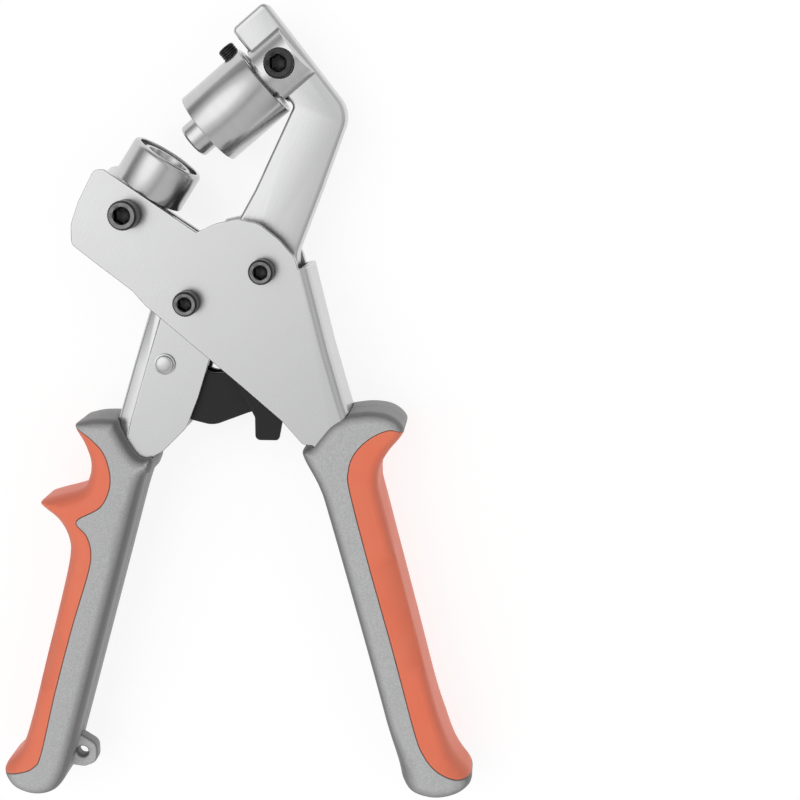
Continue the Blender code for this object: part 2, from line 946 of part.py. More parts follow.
def add_lever_handle(parent):
    def cavity():
        return prism(grown(corners(LEVER_PLATE), GAP), LEVER_FRONT + GAP, LEVER_BACK - GAP)

    lug = prism(
        corners(
            [
                (HANGING_EYE[0] + 2.6, HANGING_EYE[1] + 5.6, 3.2),
                (HANGING_EYE[0] + 5.8, HANGING_EYE[1] + 2.0, 3.6),
                (HANGING_EYE[0] + 5.2, HANGING_EYE[1] - 4.2, 3.8),
                (HANGING_EYE[0] + 0.4, HANGING_EYE[1] - 6.0, 2.6),
                (HANGING_EYE[0] - 8.0, HANGING_EYE[1] - 5.0),
                (HANGING_EYE[0] - 10.0, HANGING_EYE[1] + 3.0),
            ]
        ),
        MID - 4.5,
        MID + 4.5,
    )
    eye = cylinder(HANGING_EYE, 1.7, MID + 8.0, MID - 8.0, 20)
    add_handle(
        "lever",
        LEVER_HANDLE,
        LEVER_PANEL_LINE,
        LEVER_PANEL_FAR,
        LEVER_HANDLE_FRONT,
        LEVER_HANDLE_BACK,
        even_roll,
        cavity,
        parent,
        adds=(lug,),
        extra=(eye,),
    )


# ---------------------------------------------------------------- lever body


def add_lever_channel(parent):
    outline = corners(LEVER_PLATE)
    shape = prism(outline, LEVER_FRONT, LEVER_BACK, near_line(LEVER_LEFT_SIDE), 2.6)
    inner_side = moved_line(LEVER_LEFT_SIDE, LEVER_SHEET)
    hollow = [(inner_side[0][0], 20.0)] + inner_side + [(-77.0, -165.0), (0.0, -165.0), (0.0, 20.0)]
    inner = prism(
        hollow,
        LEVER_FRONT - LEVER_SHEET,
        LEVER_BACK + LEVER_SHEET,
        near_line(inner_side),
        0.8,
        2,
    )
    holes = joined(
        cylinder(LEVER_PIVOT, 4.7, 0.0, -25.0),
        cylinder(LINK_RIVET, 2.7, 0.0, -25.0),
        cylinder(CATCH_PIN, 1.6, 0.0, -9.0, 20),
    )
    piece("lever_channel", shape, parent, NICKEL, bevel=0.3, cuts=(inner, holes))


def add_link_rivet(parent):
    """A round-headed rivet through the lever and both links."""
    front = LEVER_FRONT + GAP
    back = LEVER_BACK - GAP
    rivet = turned(
        [
            (0.0, back - 1.2),
            (2.2, back - 1.1),
            (3.6, back - 0.5),
            (3.8, back),
            (2.5, back),
            (2.5, front),
            (3.3, front),
            (3.3, front + 0.9),
            (2.7, front + 1.5),
            (1.4, front + 1.8),
            (0.0, front + 1.9),
        ],
        28,
    )
    moved(rivet, (LINK_RIVET[0], LINK_RIVET[1], 0.0))
    piece("link_rivet", rivet, parent, NICKEL, round_piece=True)


def add_catch_pin(parent):
    """The short stud on the lever that the storage latch hooks."""
    pin = turned([(0.0, -6.7), (1.35, -6.7), (1.35, -3.2), (1.15, -3.0), (0.0, -3.0)], 20)
    moved(pin, (CATCH_PIN[0], CATCH_PIN[1], 0.0))
    piece("latch_catch_pin", pin, parent, STEEL, round_piece=True)


# ---------------------------------------------------------------- links, latch


def add_links(parent):
    for name, (front, back) in (("drive_link_front", LINK_FRONT), ("drive_link_back", LINK_BACK)):
        holes = joined(
            cylinder(LINK_RIVET, 2.8, front + 1.0, back - 1.0, 28),
            cylinder(TAIL_PIN, 3.4, front + 1.0, back - 1.0, 28),
        )
        outline = corners(LINK_PLATE)
        piece(name, prism(outline, back, front), parent, BLACK_PAINT, bevel=0.3, cuts=(holes,))


def add_storage_latch(parent):
    shape = prism(corners(LATCH_PLATE, 3), LATCH_BACK, LATCH_FRONT)
    hole = cylinder(LATCH_PIVOT, 2.2, 0.0, -8.0, 28)
    piece("storage_latch", shape, parent, BLACK_PAINT, bevel=0.2, cuts=(hole,))


# ---------------------------------------------------------------- jaw body

# Heights down the punch line: the pin end is nearest the die.
HEAD_SHOULDER = -40.0
HEAD_RIM = -14.4
HEAD_RADIUS = 13.2
SHANK_RADIUS = 11.0
SHANK_END = -55.4
SET_SCREW_ALONG = -36.6
SPOT_FACE = -5.0


def add_jaw_arm(parent):
    shape = prism(corners(ARM_PLATE), ARM_FRONT, ARM_BACK)
    thin = joined(
        box((-40.0, -70.0, TAIL_FRONT), (40.0, -25.0, 5.0)),
        box((-40.0, -70.0, -30.0), (40.0, -25.0, TAIL_BACK)),
    )
    holes = joined(
        cylinder(JAW_PIVOT, 5.2, 0.0, -25.0),
        cylinder(TAIL_PIN, 3.2, 0.0, -25.0, 28),
        cylinder(HEAD_SCREW, 3.3, 0.0, -25.0, 28),
    )
    piece("jaw_arm", shape, parent, NICKEL, bevel=0.5, cuts=(thin, holes))


def add_punch_head(parent):
    """The turned head. Its forked shank straddles the end of the arm."""
    head = turned(
        [
            (0.0, SHANK_END),
            (SHANK_RADIUS - 0.5, SHANK_END),
            (SHANK_RADIUS, SHANK_END + 0.5),
            (SHANK_RADIUS, HEAD_SHOULDER - 0.9),
            (HEAD_RADIUS - 1.6, HEAD_SHOULDER - 0.9),
            (HEAD_RADIUS - 1.6, HEAD_SHOULDER),
            (HEAD_RADIUS - 0.5, HEAD_SHOULDER),
            (HEAD_RADIUS, HEAD_SHOULDER + 0.5),
            (HEAD_RADIUS, HEAD_RIM - 0.4),
            (HEAD_RADIUS - 0.4, HEAD_RIM),
            (0.0, HEAD_RIM),
        ],
        48,
    )
    laid(head, HEAD_ANGLE, 0.0)
    slot = prism(
        [
            along(HEAD_ANGLE, ARM_SIDE_INNER + GAP, LINE_OFFSET - 20.0),
            along(HEAD_ANGLE, ARM_SIDE_INNER + GAP, LINE_OFFSET + 20.0),
            along(HEAD_ANGLE, SHANK_END - 5.0, LINE_OFFSET + 20.0),
            along(HEAD_ANGLE, SHANK_END - 5.0, LINE_OFFSET - 20.0),
        ],
        ARM_FRONT + GAP,
        ARM_BACK - GAP,
    )
    bore = laid(turned([(0.0, -39.0), (4.4, -39.0), (4.4, -10.0), (0.0, -10.0)], 28), HEAD_ANGLE, 0.0)
    spot = cylinder(HEAD_SCREW, 5.6, SPOT_FACE, 10.0)
    through = cylinder(HEAD_SCREW, 3.2, 5.0, -30.0, 28)
    side_hole = across(turned([(0.0, 2.0), (3.2, 2.0), (3.2, 20.0), (0.0, 20.0)], 28))
    piece(
        "punch_head",
        head,
        parent,
        TURNED_STEEL,
        cuts=(slot, bore, spot, through, side_hole),
        round_piece=True,
    )


def across(shape):
    """Turns a solid built about Z so that its height runs out of the side of the head."""
    x, y = along(HEAD_ANGLE, SET_SCREW_ALONG)
    turn = Matrix.Rotation(math.radians(HEAD_ANGLE - 90.0), 4, "Z")
    turn = turn @ Matrix.Rotation(math.pi / 2.0, 4, "Y")
    bmesh.ops.transform(shape, verts=shape.verts, matrix=Matrix.Translation((x, y, MID)) @ turn)
    return shape


def add_punch_pin(parent):
    pin = turned(
        [
            (0.0, -30.0),
            (3.8, -30.0),
            (4.1, -29.7),
            (4.1, HEAD_RIM + GAP),
            (6.1, HEAD_RIM + GAP),
            (6.1, -8.5),
            (5.7, -7.9),
            (4.3, -7.4),
            (0.0, -7.2),
        ],
        36,
    )
    laid(pin, HEAD_ANGLE, 0.0)
    piece("punch_pin", pin, parent, TURNED_STEEL, round_piece=True)


def add_head_screws(parent):
    socket_screw(
        "head_screw", HEAD_SCREW, 6.0, 5.0, 6.0, SPOT_FACE + GAP, -22.0, 5.0, parent
    )
    grub = turned([(0.0, 4.5), (2.4, 4.5), (3.0, 5.1), (3.0, 16.2), (2.6, 16.6), (0.0, 16.6)], 28)
    socket = turned([(0.0, 14.2), (1.7, 14.2), (1.7, 18.0), (0.0, 18.0)], 6)
    piece(
        "head_set_screw",
        across(grub),
        parent,
        BLACK_OXIDE,
        cuts=(across(socket),),
        round_piece=True,
    )


def add_tail_pin(parent):
    """The headed pin through the links and the tail of the arm."""
    pin = turned(
        [
            (0.0, -17.9),
            (4.2, -17.9),
            (4.6, -17.6),
            (4.6, -17.1),
            (3.0, -17.1),
            (3.0, -6.9),
            (4.6, -6.9),
            (4.6, -6.3),
            (4.2, -6.0),
            (0.0, -6.0),
        ],
        28,
    )
    moved(pin, (TAIL_PIN[0], TAIL_PIN[1], 0.0))
    piece("tail_pin", pin, parent, STEEL, round_piece=True)


# ---------------------------------------------------------------- assembly


def place(root):
    """Moves the root so that the origin is under the middle of the tool's bounding box."""
    bpy.context.view_layer.update()
    graph = bpy.context.evaluated_depsgraph_get()
    low = Vector((1e9, 1e9, 1e9))
    high = -low
    for obj in PARTS.objects:
        if obj.type != "MESH":
            continue
        shape = obj.evaluated_get(graph)
        for vertex in shape.to_mesh().vertices:
            p = shape.matrix_world @ vertex.co
            low = Vector(map(min, low, p))
            high = Vector(map(max, high, p))
        shape.to_mesh_clear()
    root.location = (-(low.x + high.x) / 2.0, -(low.y + high.y) / 2.0, -low.z)
    bpy.context.view_layer.update()


clear()
PARTS = collection("grommet_setter")
CUTTERS = collection("cutters", hidden=True)

NICKEL = material("nickel_plated_sheet", (0.66, 0.65, 0.63), 1.0, 0.38)
TURNED_STEEL = material("turned_steel", (0.62, 0.61, 0.60), 1.0, 0.24)
STEEL = material("plain_steel", (0.52, 0.52, 0.52), 1.0, 0.35)
BLACK_OXIDE = material("black_oxide", (0.02, 0.02, 0.022), 0.6, 0.42)
BLACK_PAINT = material("black_coated_steel", (0.03, 0.03, 0.032), 0.2, 0.5)
GRIP_GREY = material("grip_grey", (0.32, 0.32, 0.32), 0.0, 0.75)
PANEL_ORANGE = material("panel_orange", (0.90, 0.24, 0.13), 0.0, 0.6)

ROOT = bpy.data.objects.new("grommet_setter_root", None)
PARTS.objects.link(ROOT)
FRAME = body("frame_axis", JAW_PIVOT, ROOT)
JAW = body("jaw_axis", JAW_PIVOT, ROOT)
LEVER = body("lever_axis", LEVER_PIVOT, ROOT)
LINK = body("link_axis", LINK_RIVET, ROOT)
LATCH = body("latch_axis", LATCH_PIVOT, ROOT)

add_frame_channel(FRAME)
add_frame_screws(FRAME)
add_pivot_bushings(FRAME)
add_die(FRAME)
add_latch_pin(FRAME)
add_fixed_handle(FRAME)
add_lever_channel(LEVER)
add_link_rivet(LEVER)
add_catch_pin(LEVER)
add_lever_handle(LEVER)
add_links(LINK)
add_storage_latch(LATCH)
add_jaw_arm(JAW)
add_punch_head(JAW)
add_punch_pin(JAW)
add_head_screws(JAW)
add_tail_pin(JAW)
place(ROOT)
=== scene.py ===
"""Grommet setter, the visual model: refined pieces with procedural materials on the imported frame.

Lengths are millimetres in the tool's own frame: the jaw pivot is at (0, 0), the face of the front
plate is at height 0, Y points to the jaw and every pivot axis is parallel to Z.
"""

import json
import math

import bmesh
import bpy
from mathutils import Matrix, Vector
from mathutils.geometry import delaunay_2d_cdt


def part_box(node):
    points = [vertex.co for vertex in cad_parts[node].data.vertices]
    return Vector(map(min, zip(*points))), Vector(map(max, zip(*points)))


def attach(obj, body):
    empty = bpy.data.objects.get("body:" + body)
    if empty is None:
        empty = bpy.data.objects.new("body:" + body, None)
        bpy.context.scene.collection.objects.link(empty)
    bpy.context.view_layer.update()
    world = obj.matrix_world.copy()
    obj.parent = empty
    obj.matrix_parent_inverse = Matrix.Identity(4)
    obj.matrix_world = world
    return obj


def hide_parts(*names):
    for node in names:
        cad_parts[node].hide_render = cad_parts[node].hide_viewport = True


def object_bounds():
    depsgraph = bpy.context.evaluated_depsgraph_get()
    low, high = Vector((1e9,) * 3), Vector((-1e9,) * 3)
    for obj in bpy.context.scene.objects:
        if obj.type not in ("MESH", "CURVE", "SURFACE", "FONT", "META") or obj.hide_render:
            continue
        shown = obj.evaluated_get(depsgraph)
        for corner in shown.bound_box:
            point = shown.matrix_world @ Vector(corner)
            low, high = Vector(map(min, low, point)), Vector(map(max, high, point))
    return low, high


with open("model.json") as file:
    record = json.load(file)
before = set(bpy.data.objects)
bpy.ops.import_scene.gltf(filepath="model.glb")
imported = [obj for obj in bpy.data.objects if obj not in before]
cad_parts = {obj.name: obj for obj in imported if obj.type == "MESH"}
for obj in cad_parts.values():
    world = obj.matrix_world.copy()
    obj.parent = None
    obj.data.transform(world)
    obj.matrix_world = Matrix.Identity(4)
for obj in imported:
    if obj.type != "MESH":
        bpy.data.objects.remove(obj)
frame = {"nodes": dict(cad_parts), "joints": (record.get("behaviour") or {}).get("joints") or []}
CAD_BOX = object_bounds()

MM = 0.001
GAP = 0.3
BEVEL_ANGLE = 70.0
SOCKET_SHARE = 0.72
PIVOTS = {joint["name"]: joint["pos_m"] for joint in frame["joints"]}
ORIGIN = Vector((PIVOTS["jaw_pivot"][0], PIVOTS["jaw_pivot"][1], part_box("frame_channel")[1].z))

# Depth of the layers, counted down from the face of the front plate.
MID = -12.0
FRAME_DEPTH = 24.0
FRAME_SHEET = 2.5
FRAME_FOLD = 3.4
LEVER_FRONT = -4.9
LEVER_BACK = -19.1
LEVER_SHEET = 2.0
ARM_FRONT = -7.0
ARM_BACK = -17.0
TAIL_FRONT = -9.9
TAIL_BACK = -14.1
LINK_LAYERS = {"drive_link_front": (-7.2, -9.6), "drive_link_back": (-14.4, -16.8)}
LATCH_FRONT = -2.8
LATCH_BACK = -4.6


def design(point):
    """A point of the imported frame, in the tool's own millimetres."""
    return ((point[0] - ORIGIN.x) / MM, (point[1] - ORIGIN.y) / MM)


def centre_of(node):
    low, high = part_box(node)
    return design((low + high) / 2.0)


JAW_PIVOT = (0.0, 0.0)
LEVER_PIVOT = design(PIVOTS["lever_pivot"])
LINK_RIVET = design(PIVOTS["link_pivot"])
LATCH_PIVOT = design(PIVOTS["latch_pivot"])
TAIL_PIN = centre_of("tail_pin")
CATCH_PIN = centre_of("latch_catch_pin")

HEAD_ANGLE = -140.3
CLOSING = 16.8
LINE_OFFSET = -48.5
DIE_SCREW_ALONG = 9.7
HEAD_SCREW_ALONG = -48.3


def along(angle, distance, side=LINE_OFFSET):
    """The point at this distance down a punch or die line that turns round the jaw pivot."""
    c = math.cos(math.radians(angle))
    s = math.sin(math.radians(angle))
    return (distance * c - side * s, distance * s + side * c)


DIE_ANGLE = HEAD_ANGLE + CLOSING
DIE_SCREW = along(DIE_ANGLE, DIE_SCREW_ALONG)
HEAD_SCREW = along(HEAD_ANGLE, HEAD_SCREW_ALONG)


# ---- outlines


def corners(points, steps=8):
    """A closed outline from (x, y) or (x, y, radius) corners, with each radius drawn as an arc."""
    result = []
    count = len(points)
    for i, point in enumerate(points):
        here = Vector(point[:2])
        radius = point[2] if len(point) > 2 else 0.0
        if radius <= 0.0:
            result.append(tuple(here))
            continue
        before = (Vector(points[i - 1][:2]) - here).normalized()
        after = (Vector(points[(i + 1) % count][:2]) - here).normalized()
        half = before.angle(after) / 2.0
        reach = radius / math.tan(half)
        start = here + before * reach
        end = here + after * reach
        centre = here + (before + after).normalized() * (radius / math.sin(half))
        for k in range(steps + 1):
            arm = (start - centre).lerp(end - centre, k / steps).normalized()
            result.append(tuple(centre + arm * radius))
    return result


def spline(a, b, c, d, t):
    """The Catmull-Rom point between b and c."""
    p = b * 2.0 + (c - a) * t
    p += (a * 2.0 - b * 5.0 + c * 4.0 - d) * t * t
    p += (b * 3.0 - a - c * 3.0 + d) * t * t * t
    return p * 0.5


def smooth(points, closed=True, steps=6):
    """A smooth curve through the points."""
    line = [points[-1], *points, *points[:2]] if closed else [points[0], *points, points[-1]]
    result = []
    for four in zip(line, line[1:], line[2:], line[3:]):
        a, b, c, d = map(Vector, four)
        result += [tuple(spline(a, b, c, d, k / steps)) for k in range(steps)]
    return result if closed else result + [tuple(points[-1])]


def circle(centre, radius, segments=64, turn=0.0):
    result = []
    for k in range(segments):
        angle = 2.0 * math.pi * k / segments + turn
        result.append((centre[0] + radius * math.cos(angle), centre[1] + radius * math.sin(angle)))
    return result


def area(outline):
    total = 0.0
    for i, (x, y) in enumerate(outline):
        x2, y2 = outline[(i + 1) % len(outline)]
        total += x * y2 - x2 * y
    return total / 2.0


def grown(outline, distance):
    """The outline moved outward by one distance, or one for each point, with mitred corners."""
    turn = 1.0 if area(outline) > 0.0 else -1.0
    result = []
    count = len(outline)
    for i in range(count):
        before = (Vector(outline[i]) - Vector(outline[i - 1])).normalized()
        after = (Vector(outline[(i + 1) % count]) - Vector(outline[i])).normalized()
        n1 = Vector((before.y, -before.x)) * turn
        n2 = Vector((after.y, -after.x)) * turn
        miter = n1 + n2
        miter *= 2.0 / max(miter.length_squared, 0.5)
        reach = distance[i] if isinstance(distance, list) else distance
        result.append(tuple(Vector(outline[i]) + miter * reach))
    return result


def distance_to(line, p, closed=True):
    """The distance from p to the nearest side of the line."""
    best = 1e9
    for i in range(0 if closed else 1, len(line)):
        ax, ay = line[i - 1]
        bx, by = line[i]
        sx = bx - ax
        sy = by - ay
        t = ((p[0] - ax) * sx + (p[1] - ay) * sy) / max(sx * sx + sy * sy, 1e-12)
        t = max(0.0, min(1.0, t))
        best = min(best, math.hypot(p[0] - ax - sx * t, p[1] - ay - sy * t))
    return best


def inside(outline, p):
    hit = False
    for i in range(len(outline)):
        x1, y1 = outline[i - 1]
        x2, y2 = outline[i]
        if (y1 > p[1]) != (y2 > p[1]):
            if p[0] < (x2 - x1) * (p[1] - y1) / (y2 - y1) + x1:
                hit = not hit
    return hit


def moved_line(line, distance):
    """An open line moved to its left by a distance."""
    result = []
    for i, point in enumerate(line):
        before = Vector(line[max(i - 1, 0)])
        after = Vector(line[min(i + 1, len(line) - 1)])
        step = (after - before).normalized()
        result.append((point[0] - step.y * distance, point[1] + step.x * distance))
    return result


# ---- solids


def facing_out(shape):
    bmesh.ops.recalc_face_normals(shape, faces=shape.faces)
    return shape


def stacked(rings):
    """A solid through a stack of rings of equally many points, from (outline, height) pairs."""
    shape = bmesh.new()
    levels = []
    for outline, height in rings:
        levels.append([shape.verts.new((x, y, height)) for x, y in outline])
    count = len(levels[0])
    for lower, upper in zip(levels, levels[1:]):
        for i in range(count):
            j = (i + 1) % count
            shape.faces.new((lower[i], lower[j], upper[j], upper[i]))
    shape.faces.new(list(reversed(levels[0])))
    shape.faces.new(levels[-1])
    return facing_out(shape)


def prism(outline, low, high):
    """A flat plate between two heights."""
    return stacked([(outline, min(low, high)), (outline, max(low, high))])


def rounded(radius, steps):
    """A quarter round as (inset, drop) pairs, from the flat face down to the side."""
    result = []
    for k in range(steps + 1):
        turn = math.pi / 2.0 * k / steps
        result.append((radius * (1.0 - math.sin(turn)), radius * (1.0 - math.cos(turn))))
    return result


def rounded_plate(outline, low, high, radius, steps):
    """A plate with its whole rim rounded over on both faces."""
    roll = rounded(radius, steps)
    rings = [(grown(outline, -inset), low + drop) for inset, drop in roll]
    rings += [(grown(outline, -inset), high - drop) for inset, drop in reversed(roll)]
    return stacked(rings)


def folded(outline, side, low, high, fold, left=1.0):
    """A plate whose outline runs along a folded side. The fold is (inset, drop) pairs, and the
    side moves to its left, or to its right when left is -1."""

    def ring(inset):
        moves = {}
        for old, new in zip(side, moved_line(side, inset * left)):
            moves[(round(old[0], 2), round(old[1], 2))] = new
        return [moves.get((round(x, 2), round(y, 2)), (x, y)) for x, y in outline]

    rings = [(ring(inset), low + drop) for inset, drop in fold]
    rings += [(ring(inset), high - drop) for inset, drop in reversed(fold)]
    return stacked(rings)


def hexagon(flats, largest=1e9):
    """The radius of a hexagon at each angle, cut to a largest radius by a cone."""

    def radius(angle):
        sector = math.pi / 3.0
        within = (angle + sector / 2.0) % sector - sector / 2.0
        return min(flats / 2.0 / math.cos(within), largest)

    return radius


def knurl(radius, depth, count=30):
    """A radius with fine straight flutes round it."""

    def at(angle):
        return radius - depth * (0.5 + 0.5 * math.cos(angle * count)) ** 2

    return at


def turned(profile, segments=72, gap=0.0, turn=0.0):
    """A solid of revolution about Z from (radius, height) pairs. A radius may be a function of the
    angle, an end at radius 0 closes on the axis, and a gap in degrees leaves the ring open."""
    shape = bmesh.new()
    rings = []
    sweep = math.radians(360.0 - gap)
    count = segments if gap == 0.0 else segments + 1
    for radius, height in profile:
        if not callable(radius) and radius < 1e-6:
            rings.append([shape.verts.new((0.0, 0.0, height))])
            continue
        ring = []
        for k in range(count):
            angle = sweep * k / segments
            reach = radius(angle) if callable(radius) else radius
            spot = angle + turn
            ring.append(shape.verts.new((reach * math.cos(spot), reach * math.sin(spot), height)))
        rings.append(ring)
    pairs = list(zip(rings, rings[1:]))
    if len(rings[0]) > 1 or len(rings[-1]) > 1:
        pairs.append((rings[-1], rings[0]))
    for first, second in pairs:
        for k in range(segments):
            n = (k + 1) % count
            if len(first) == 1 and len(second) == 1:
                continue
            if len(first) == 1:
                shape.faces.new((first[0], second[n], second[k]))
            elif len(second) == 1:
                shape.faces.new((first[k], first[n], second[0]))
            else:
                shape.faces.new((first[k], first[n], second[n], second[k]))
    if gap > 0.0:
        shape.faces.new([ring[0] for ring in rings])
        shape.faces.new([ring[-1] for ring in reversed(rings)])
    return facing_out(shape)


def lip(radius, height, *pairs):
    """Profile points given from one radius and one height."""
    return [(radius + out, height + up) for out, up in pairs]


def cylinder(centre, radius, low, high, segments=64):
    return prism(circle(centre, radius, segments), low, high)


def moved(shape, spot, z=0.0):
    bmesh.ops.translate(shape, verts=shape.verts, vec=(*spot, z))
    return shape


def laid(shape, angle, distance=0.0, aside=0.0):
    """Turns a solid built about Z so that its height runs down a punch or die line, or at an angle
    aside from it."""
    x, y = along(angle, distance)
    turn = Matrix.Rotation(math.radians(angle + aside), 4, "Z")
    turn = turn @ Matrix.Rotation(math.pi / 2.0, 4, "Y")
    bmesh.ops.transform(shape, verts=shape.verts, matrix=Matrix.Translation((x, y, MID)) @ turn)
    return shape


def joined(*shapes):
    """Several loose shapes in one mesh."""
    whole = bmesh.new()
    for shape in shapes:
        mesh = mesh_of("joined", shape)
        whole.from_mesh(mesh)
        bpy.data.meshes.remove(mesh)
    return whole


# ---- pieces


def scene_object(name, data):
    obj = bpy.data.objects.new(name, data)
    bpy.context.scene.collection.objects.link(obj)
    return obj


def mesh_of(name, shape):
    mesh = bpy.data.meshes.new(name)
    shape.to_mesh(mesh)
    shape.free()
    return mesh


def mesh_object(name, shape):
    """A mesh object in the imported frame, in metres, from a shape in the tool's own millimetres."""
    bmesh.ops.scale(shape, verts=shape.verts, vec=(MM, MM, MM))
    bmesh.ops.translate(shape, verts=shape.verts, vec=ORIGIN)
    return scene_object(name, mesh_of(name, shape))


def applied(obj):
    """Fixes the modifiers into the mesh."""
    graph = bpy.context.evaluated_depsgraph_get()
    graph.update()
    done = bpy.data.meshes.new_from_object(obj.evaluated_get(graph))
    obj.modifiers.clear()
    obj.data = done


def boolean(obj, other, operation, solver="EXACT"):
    """Adds a Boolean with another shape, and gives the mesh of its helper object."""
    helper = mesh_object("helper", other)
    work = obj.modifiers.new("cut", "BOOLEAN")
    work.operation = operation
    work.solver = solver
    work.object = helper
    return helper.data


def piece(name, shape, body, look, node, cuts=(), adds=(), bevel=0.0, angle=32.0, solver="EXACT"):
    """One visual piece: its Boolean work, its edge rounding, and its place in the frame."""
    obj = mesh_object(name, shape)
    helpers = [boolean(obj, other, "UNION", solver) for other in adds]
    helpers += [boolean(obj, other, "DIFFERENCE", solver) for other in cuts]
    if helpers:
        applied(obj)
    for helper in helpers:
        bpy.data.meshes.remove(helper)
    if bevel > 0.0:
        soft = obj.modifiers.new("edges", "BEVEL")
        soft.width = bevel * MM
        soft.segments = 3
        soft.limit_method = "ANGLE"
        soft.angle_limit = math.radians(BEVEL_ANGLE)
        soft.use_clamp_overlap = False
        soft.harden_normals = True
    mesh = obj.data
    mesh.materials.clear()
    mesh.materials.append(look[0])
    mesh.polygons.foreach_set("material_index", [0] * len(mesh.polygons))
    mesh.polygons.foreach_set("use_smooth", [True] * len(mesh.polygons))
    mesh.set_sharp_from_angle(angle=math.radians(angle))
    if bevel > 0.0:
        applied(obj)
    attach(obj, body)
    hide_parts(node)


# ---- materials


class Nodes:
    """A short way to write the node tree of a material or of the sky."""

    def __init__(self, owner, place="Object"):
        owner.use_nodes = True
        self.owner = owner
        self.tree = owner.node_tree
        self.shader = self.tree.nodes.get("Principled BSDF")
        self.place = self.add("ShaderNodeTexCoord").outputs[place]

    def add(self, kind, **settings):
        node = self.tree.nodes.new(kind)
        for key, value in settings.items():
            setattr(node, key, value)
        return node

    def link(self, source, target):
        self.tree.links.new(source, target)

    def feed(self, socket, value):
        if hasattr(value, "is_output"):
            self.link(value, socket)
        else:
            socket.default_value = value

    def noise(self, scale, detail=2.0, stretch=None, turn=0.0, roughness=0.5):
        """Noise over the piece, with a scale for each axis after a turn about Z."""
        place = self.place
        if stretch:
            mapping = self.add("ShaderNodeMapping", vector_type="POINT")
            mapping.inputs["Rotation"].default_value = (0.0, 0.0, math.radians(-turn))
            self.link(place, mapping.inputs["Vector"])
            place = self.vector("MULTIPLY", mapping.outputs["Vector"], stretch)
        noise = self.add("ShaderNodeTexNoise")
        noise.inputs["Scale"].default_value = scale
        noise.inputs["Detail"].default_value = detail
        noise.inputs["Roughness"].default_value = roughness
        self.link(place, noise.inputs["Vector"])
        return noise.outputs["Fac"]

    def ramp(self, value, low, high, out_low, out_high):
        node = self.add("ShaderNodeMapRange")
        for socket, entry in zip(node.inputs, (value, low, high, out_low, out_high)):
            self.feed(socket, entry)
        return node.outputs["Result"]

    def mix(self, factor, first, second):
        node = self.add("ShaderNodeMix", data_type="RGBA")
        self.feed(node.inputs["Factor"], factor)
        for socket, colour in zip((node.inputs[6], node.inputs[7]), (first, second)):
            self.feed(socket, (*colour, 1.0) if isinstance(colour, tuple) else colour)
        return node.outputs[2]

    def calc(self, operation, *values, kind="ShaderNodeMath"):
        node = self.add(kind, operation=operation)
        for socket, value in zip(node.inputs, values):
            self.feed(socket, value)
        return node.outputs["Value" if operation == "DOT_PRODUCT" else 0]

    def vector(self, operation, *values):
        return self.calc(operation, *values, kind="ShaderNodeVectorMath")

    def bump(self, height, strength, distance, under=None):
        node = self.add("ShaderNodeBump")
        node.inputs["Strength"].default_value = strength
        node.inputs["Distance"].default_value = distance
        self.link(height, node.inputs["Height"])
        if under is not None:
            self.link(under, node.inputs["Normal"])
        return node.outputs["Normal"]

    def facing_up(self, normal="True Normal"):
        """1 on faces that look straight up or down, 0 on upright ones."""
        parts = self.add("ShaderNodeSeparateXYZ")
        self.link(self.add("ShaderNodeNewGeometry").outputs[normal], parts.inputs[0])
        return self.calc("ABSOLUTE", parts.outputs["Z"])

    def painted_roll_shade(self, colour, most):
        """Painted shade: the colour, darker by up to this share where the surface rolls over to the
        sides, a little less on the upright walls, as if those sides lay in shadow.
        """
        up = self.facing_up("Normal")
        over = self.ramp(up, 0.60, 0.97, most, 0.0)
        side = self.ramp(up, 0.05, 0.35, 0.75, 1.0)
        return self.mix(self.calc("MULTIPLY", over, side), colour, (0.04, 0.03, 0.03))

    def worn(self, base, radius, colour):
        """The base colour, with another one near the edges of the piece."""
        rounded = self.add("ShaderNodeBevel", samples=4)
        rounded.inputs["Radius"].default_value = radius
        plain = self.add("ShaderNodeNewGeometry")
        match = self.vector("DOT_PRODUCT", rounded.outputs["Normal"], plain.outputs["Normal"])
        return self.mix(self.ramp(match, 0.995, 0.90, 0.0, 1.0), base, colour)

    def finish(self, colour, roughness, metallic=0.0, normal=None, **others):
        self.feed(self.shader.inputs["Base Color"], colour)
        self.feed(self.shader.inputs["Roughness"], roughness)
        self.feed(self.shader.inputs["Metallic"], metallic)
        if normal is not None:
            self.link(normal, self.shader.inputs["Normal"])
        for key, value in others.items():
            self.feed(self.shader.inputs[key.replace("_", " ")], value)
        return self.owner


def new_look(name):
    return Nodes(bpy.data.materials.new(name))


def nickel_look():
    """Satin nickel plate over rolled sheet: a faint long grain, soft clouds, and polished edges."""
    n = new_look("nickel_plated_sheet")
    grain = n.noise(1.0, 3.0, (160.0, 2600.0, 1200.0), 62.0)
    clouds = n.noise(24.0, 2.0)
    pits = n.noise(2200.0, 1.0)
    base = n.mix(clouds, (0.57, 0.572, 0.575), (0.61, 0.61, 0.612))
    base = n.worn(base, 0.0006, (0.80, 0.80, 0.80))
    rough = n.ramp(clouds, 0.3, 0.7, 0.25, 0.31)
    rough = n.calc("ADD", rough, n.ramp(grain, 0.3, 0.7, -0.02, 0.02))
    normal = n.bump(grain, 0.006, 0.00001)
    normal = n.bump(pits, 0.004, 0.00001, normal)
    return n.finish(base, rough, 1.0, normal)


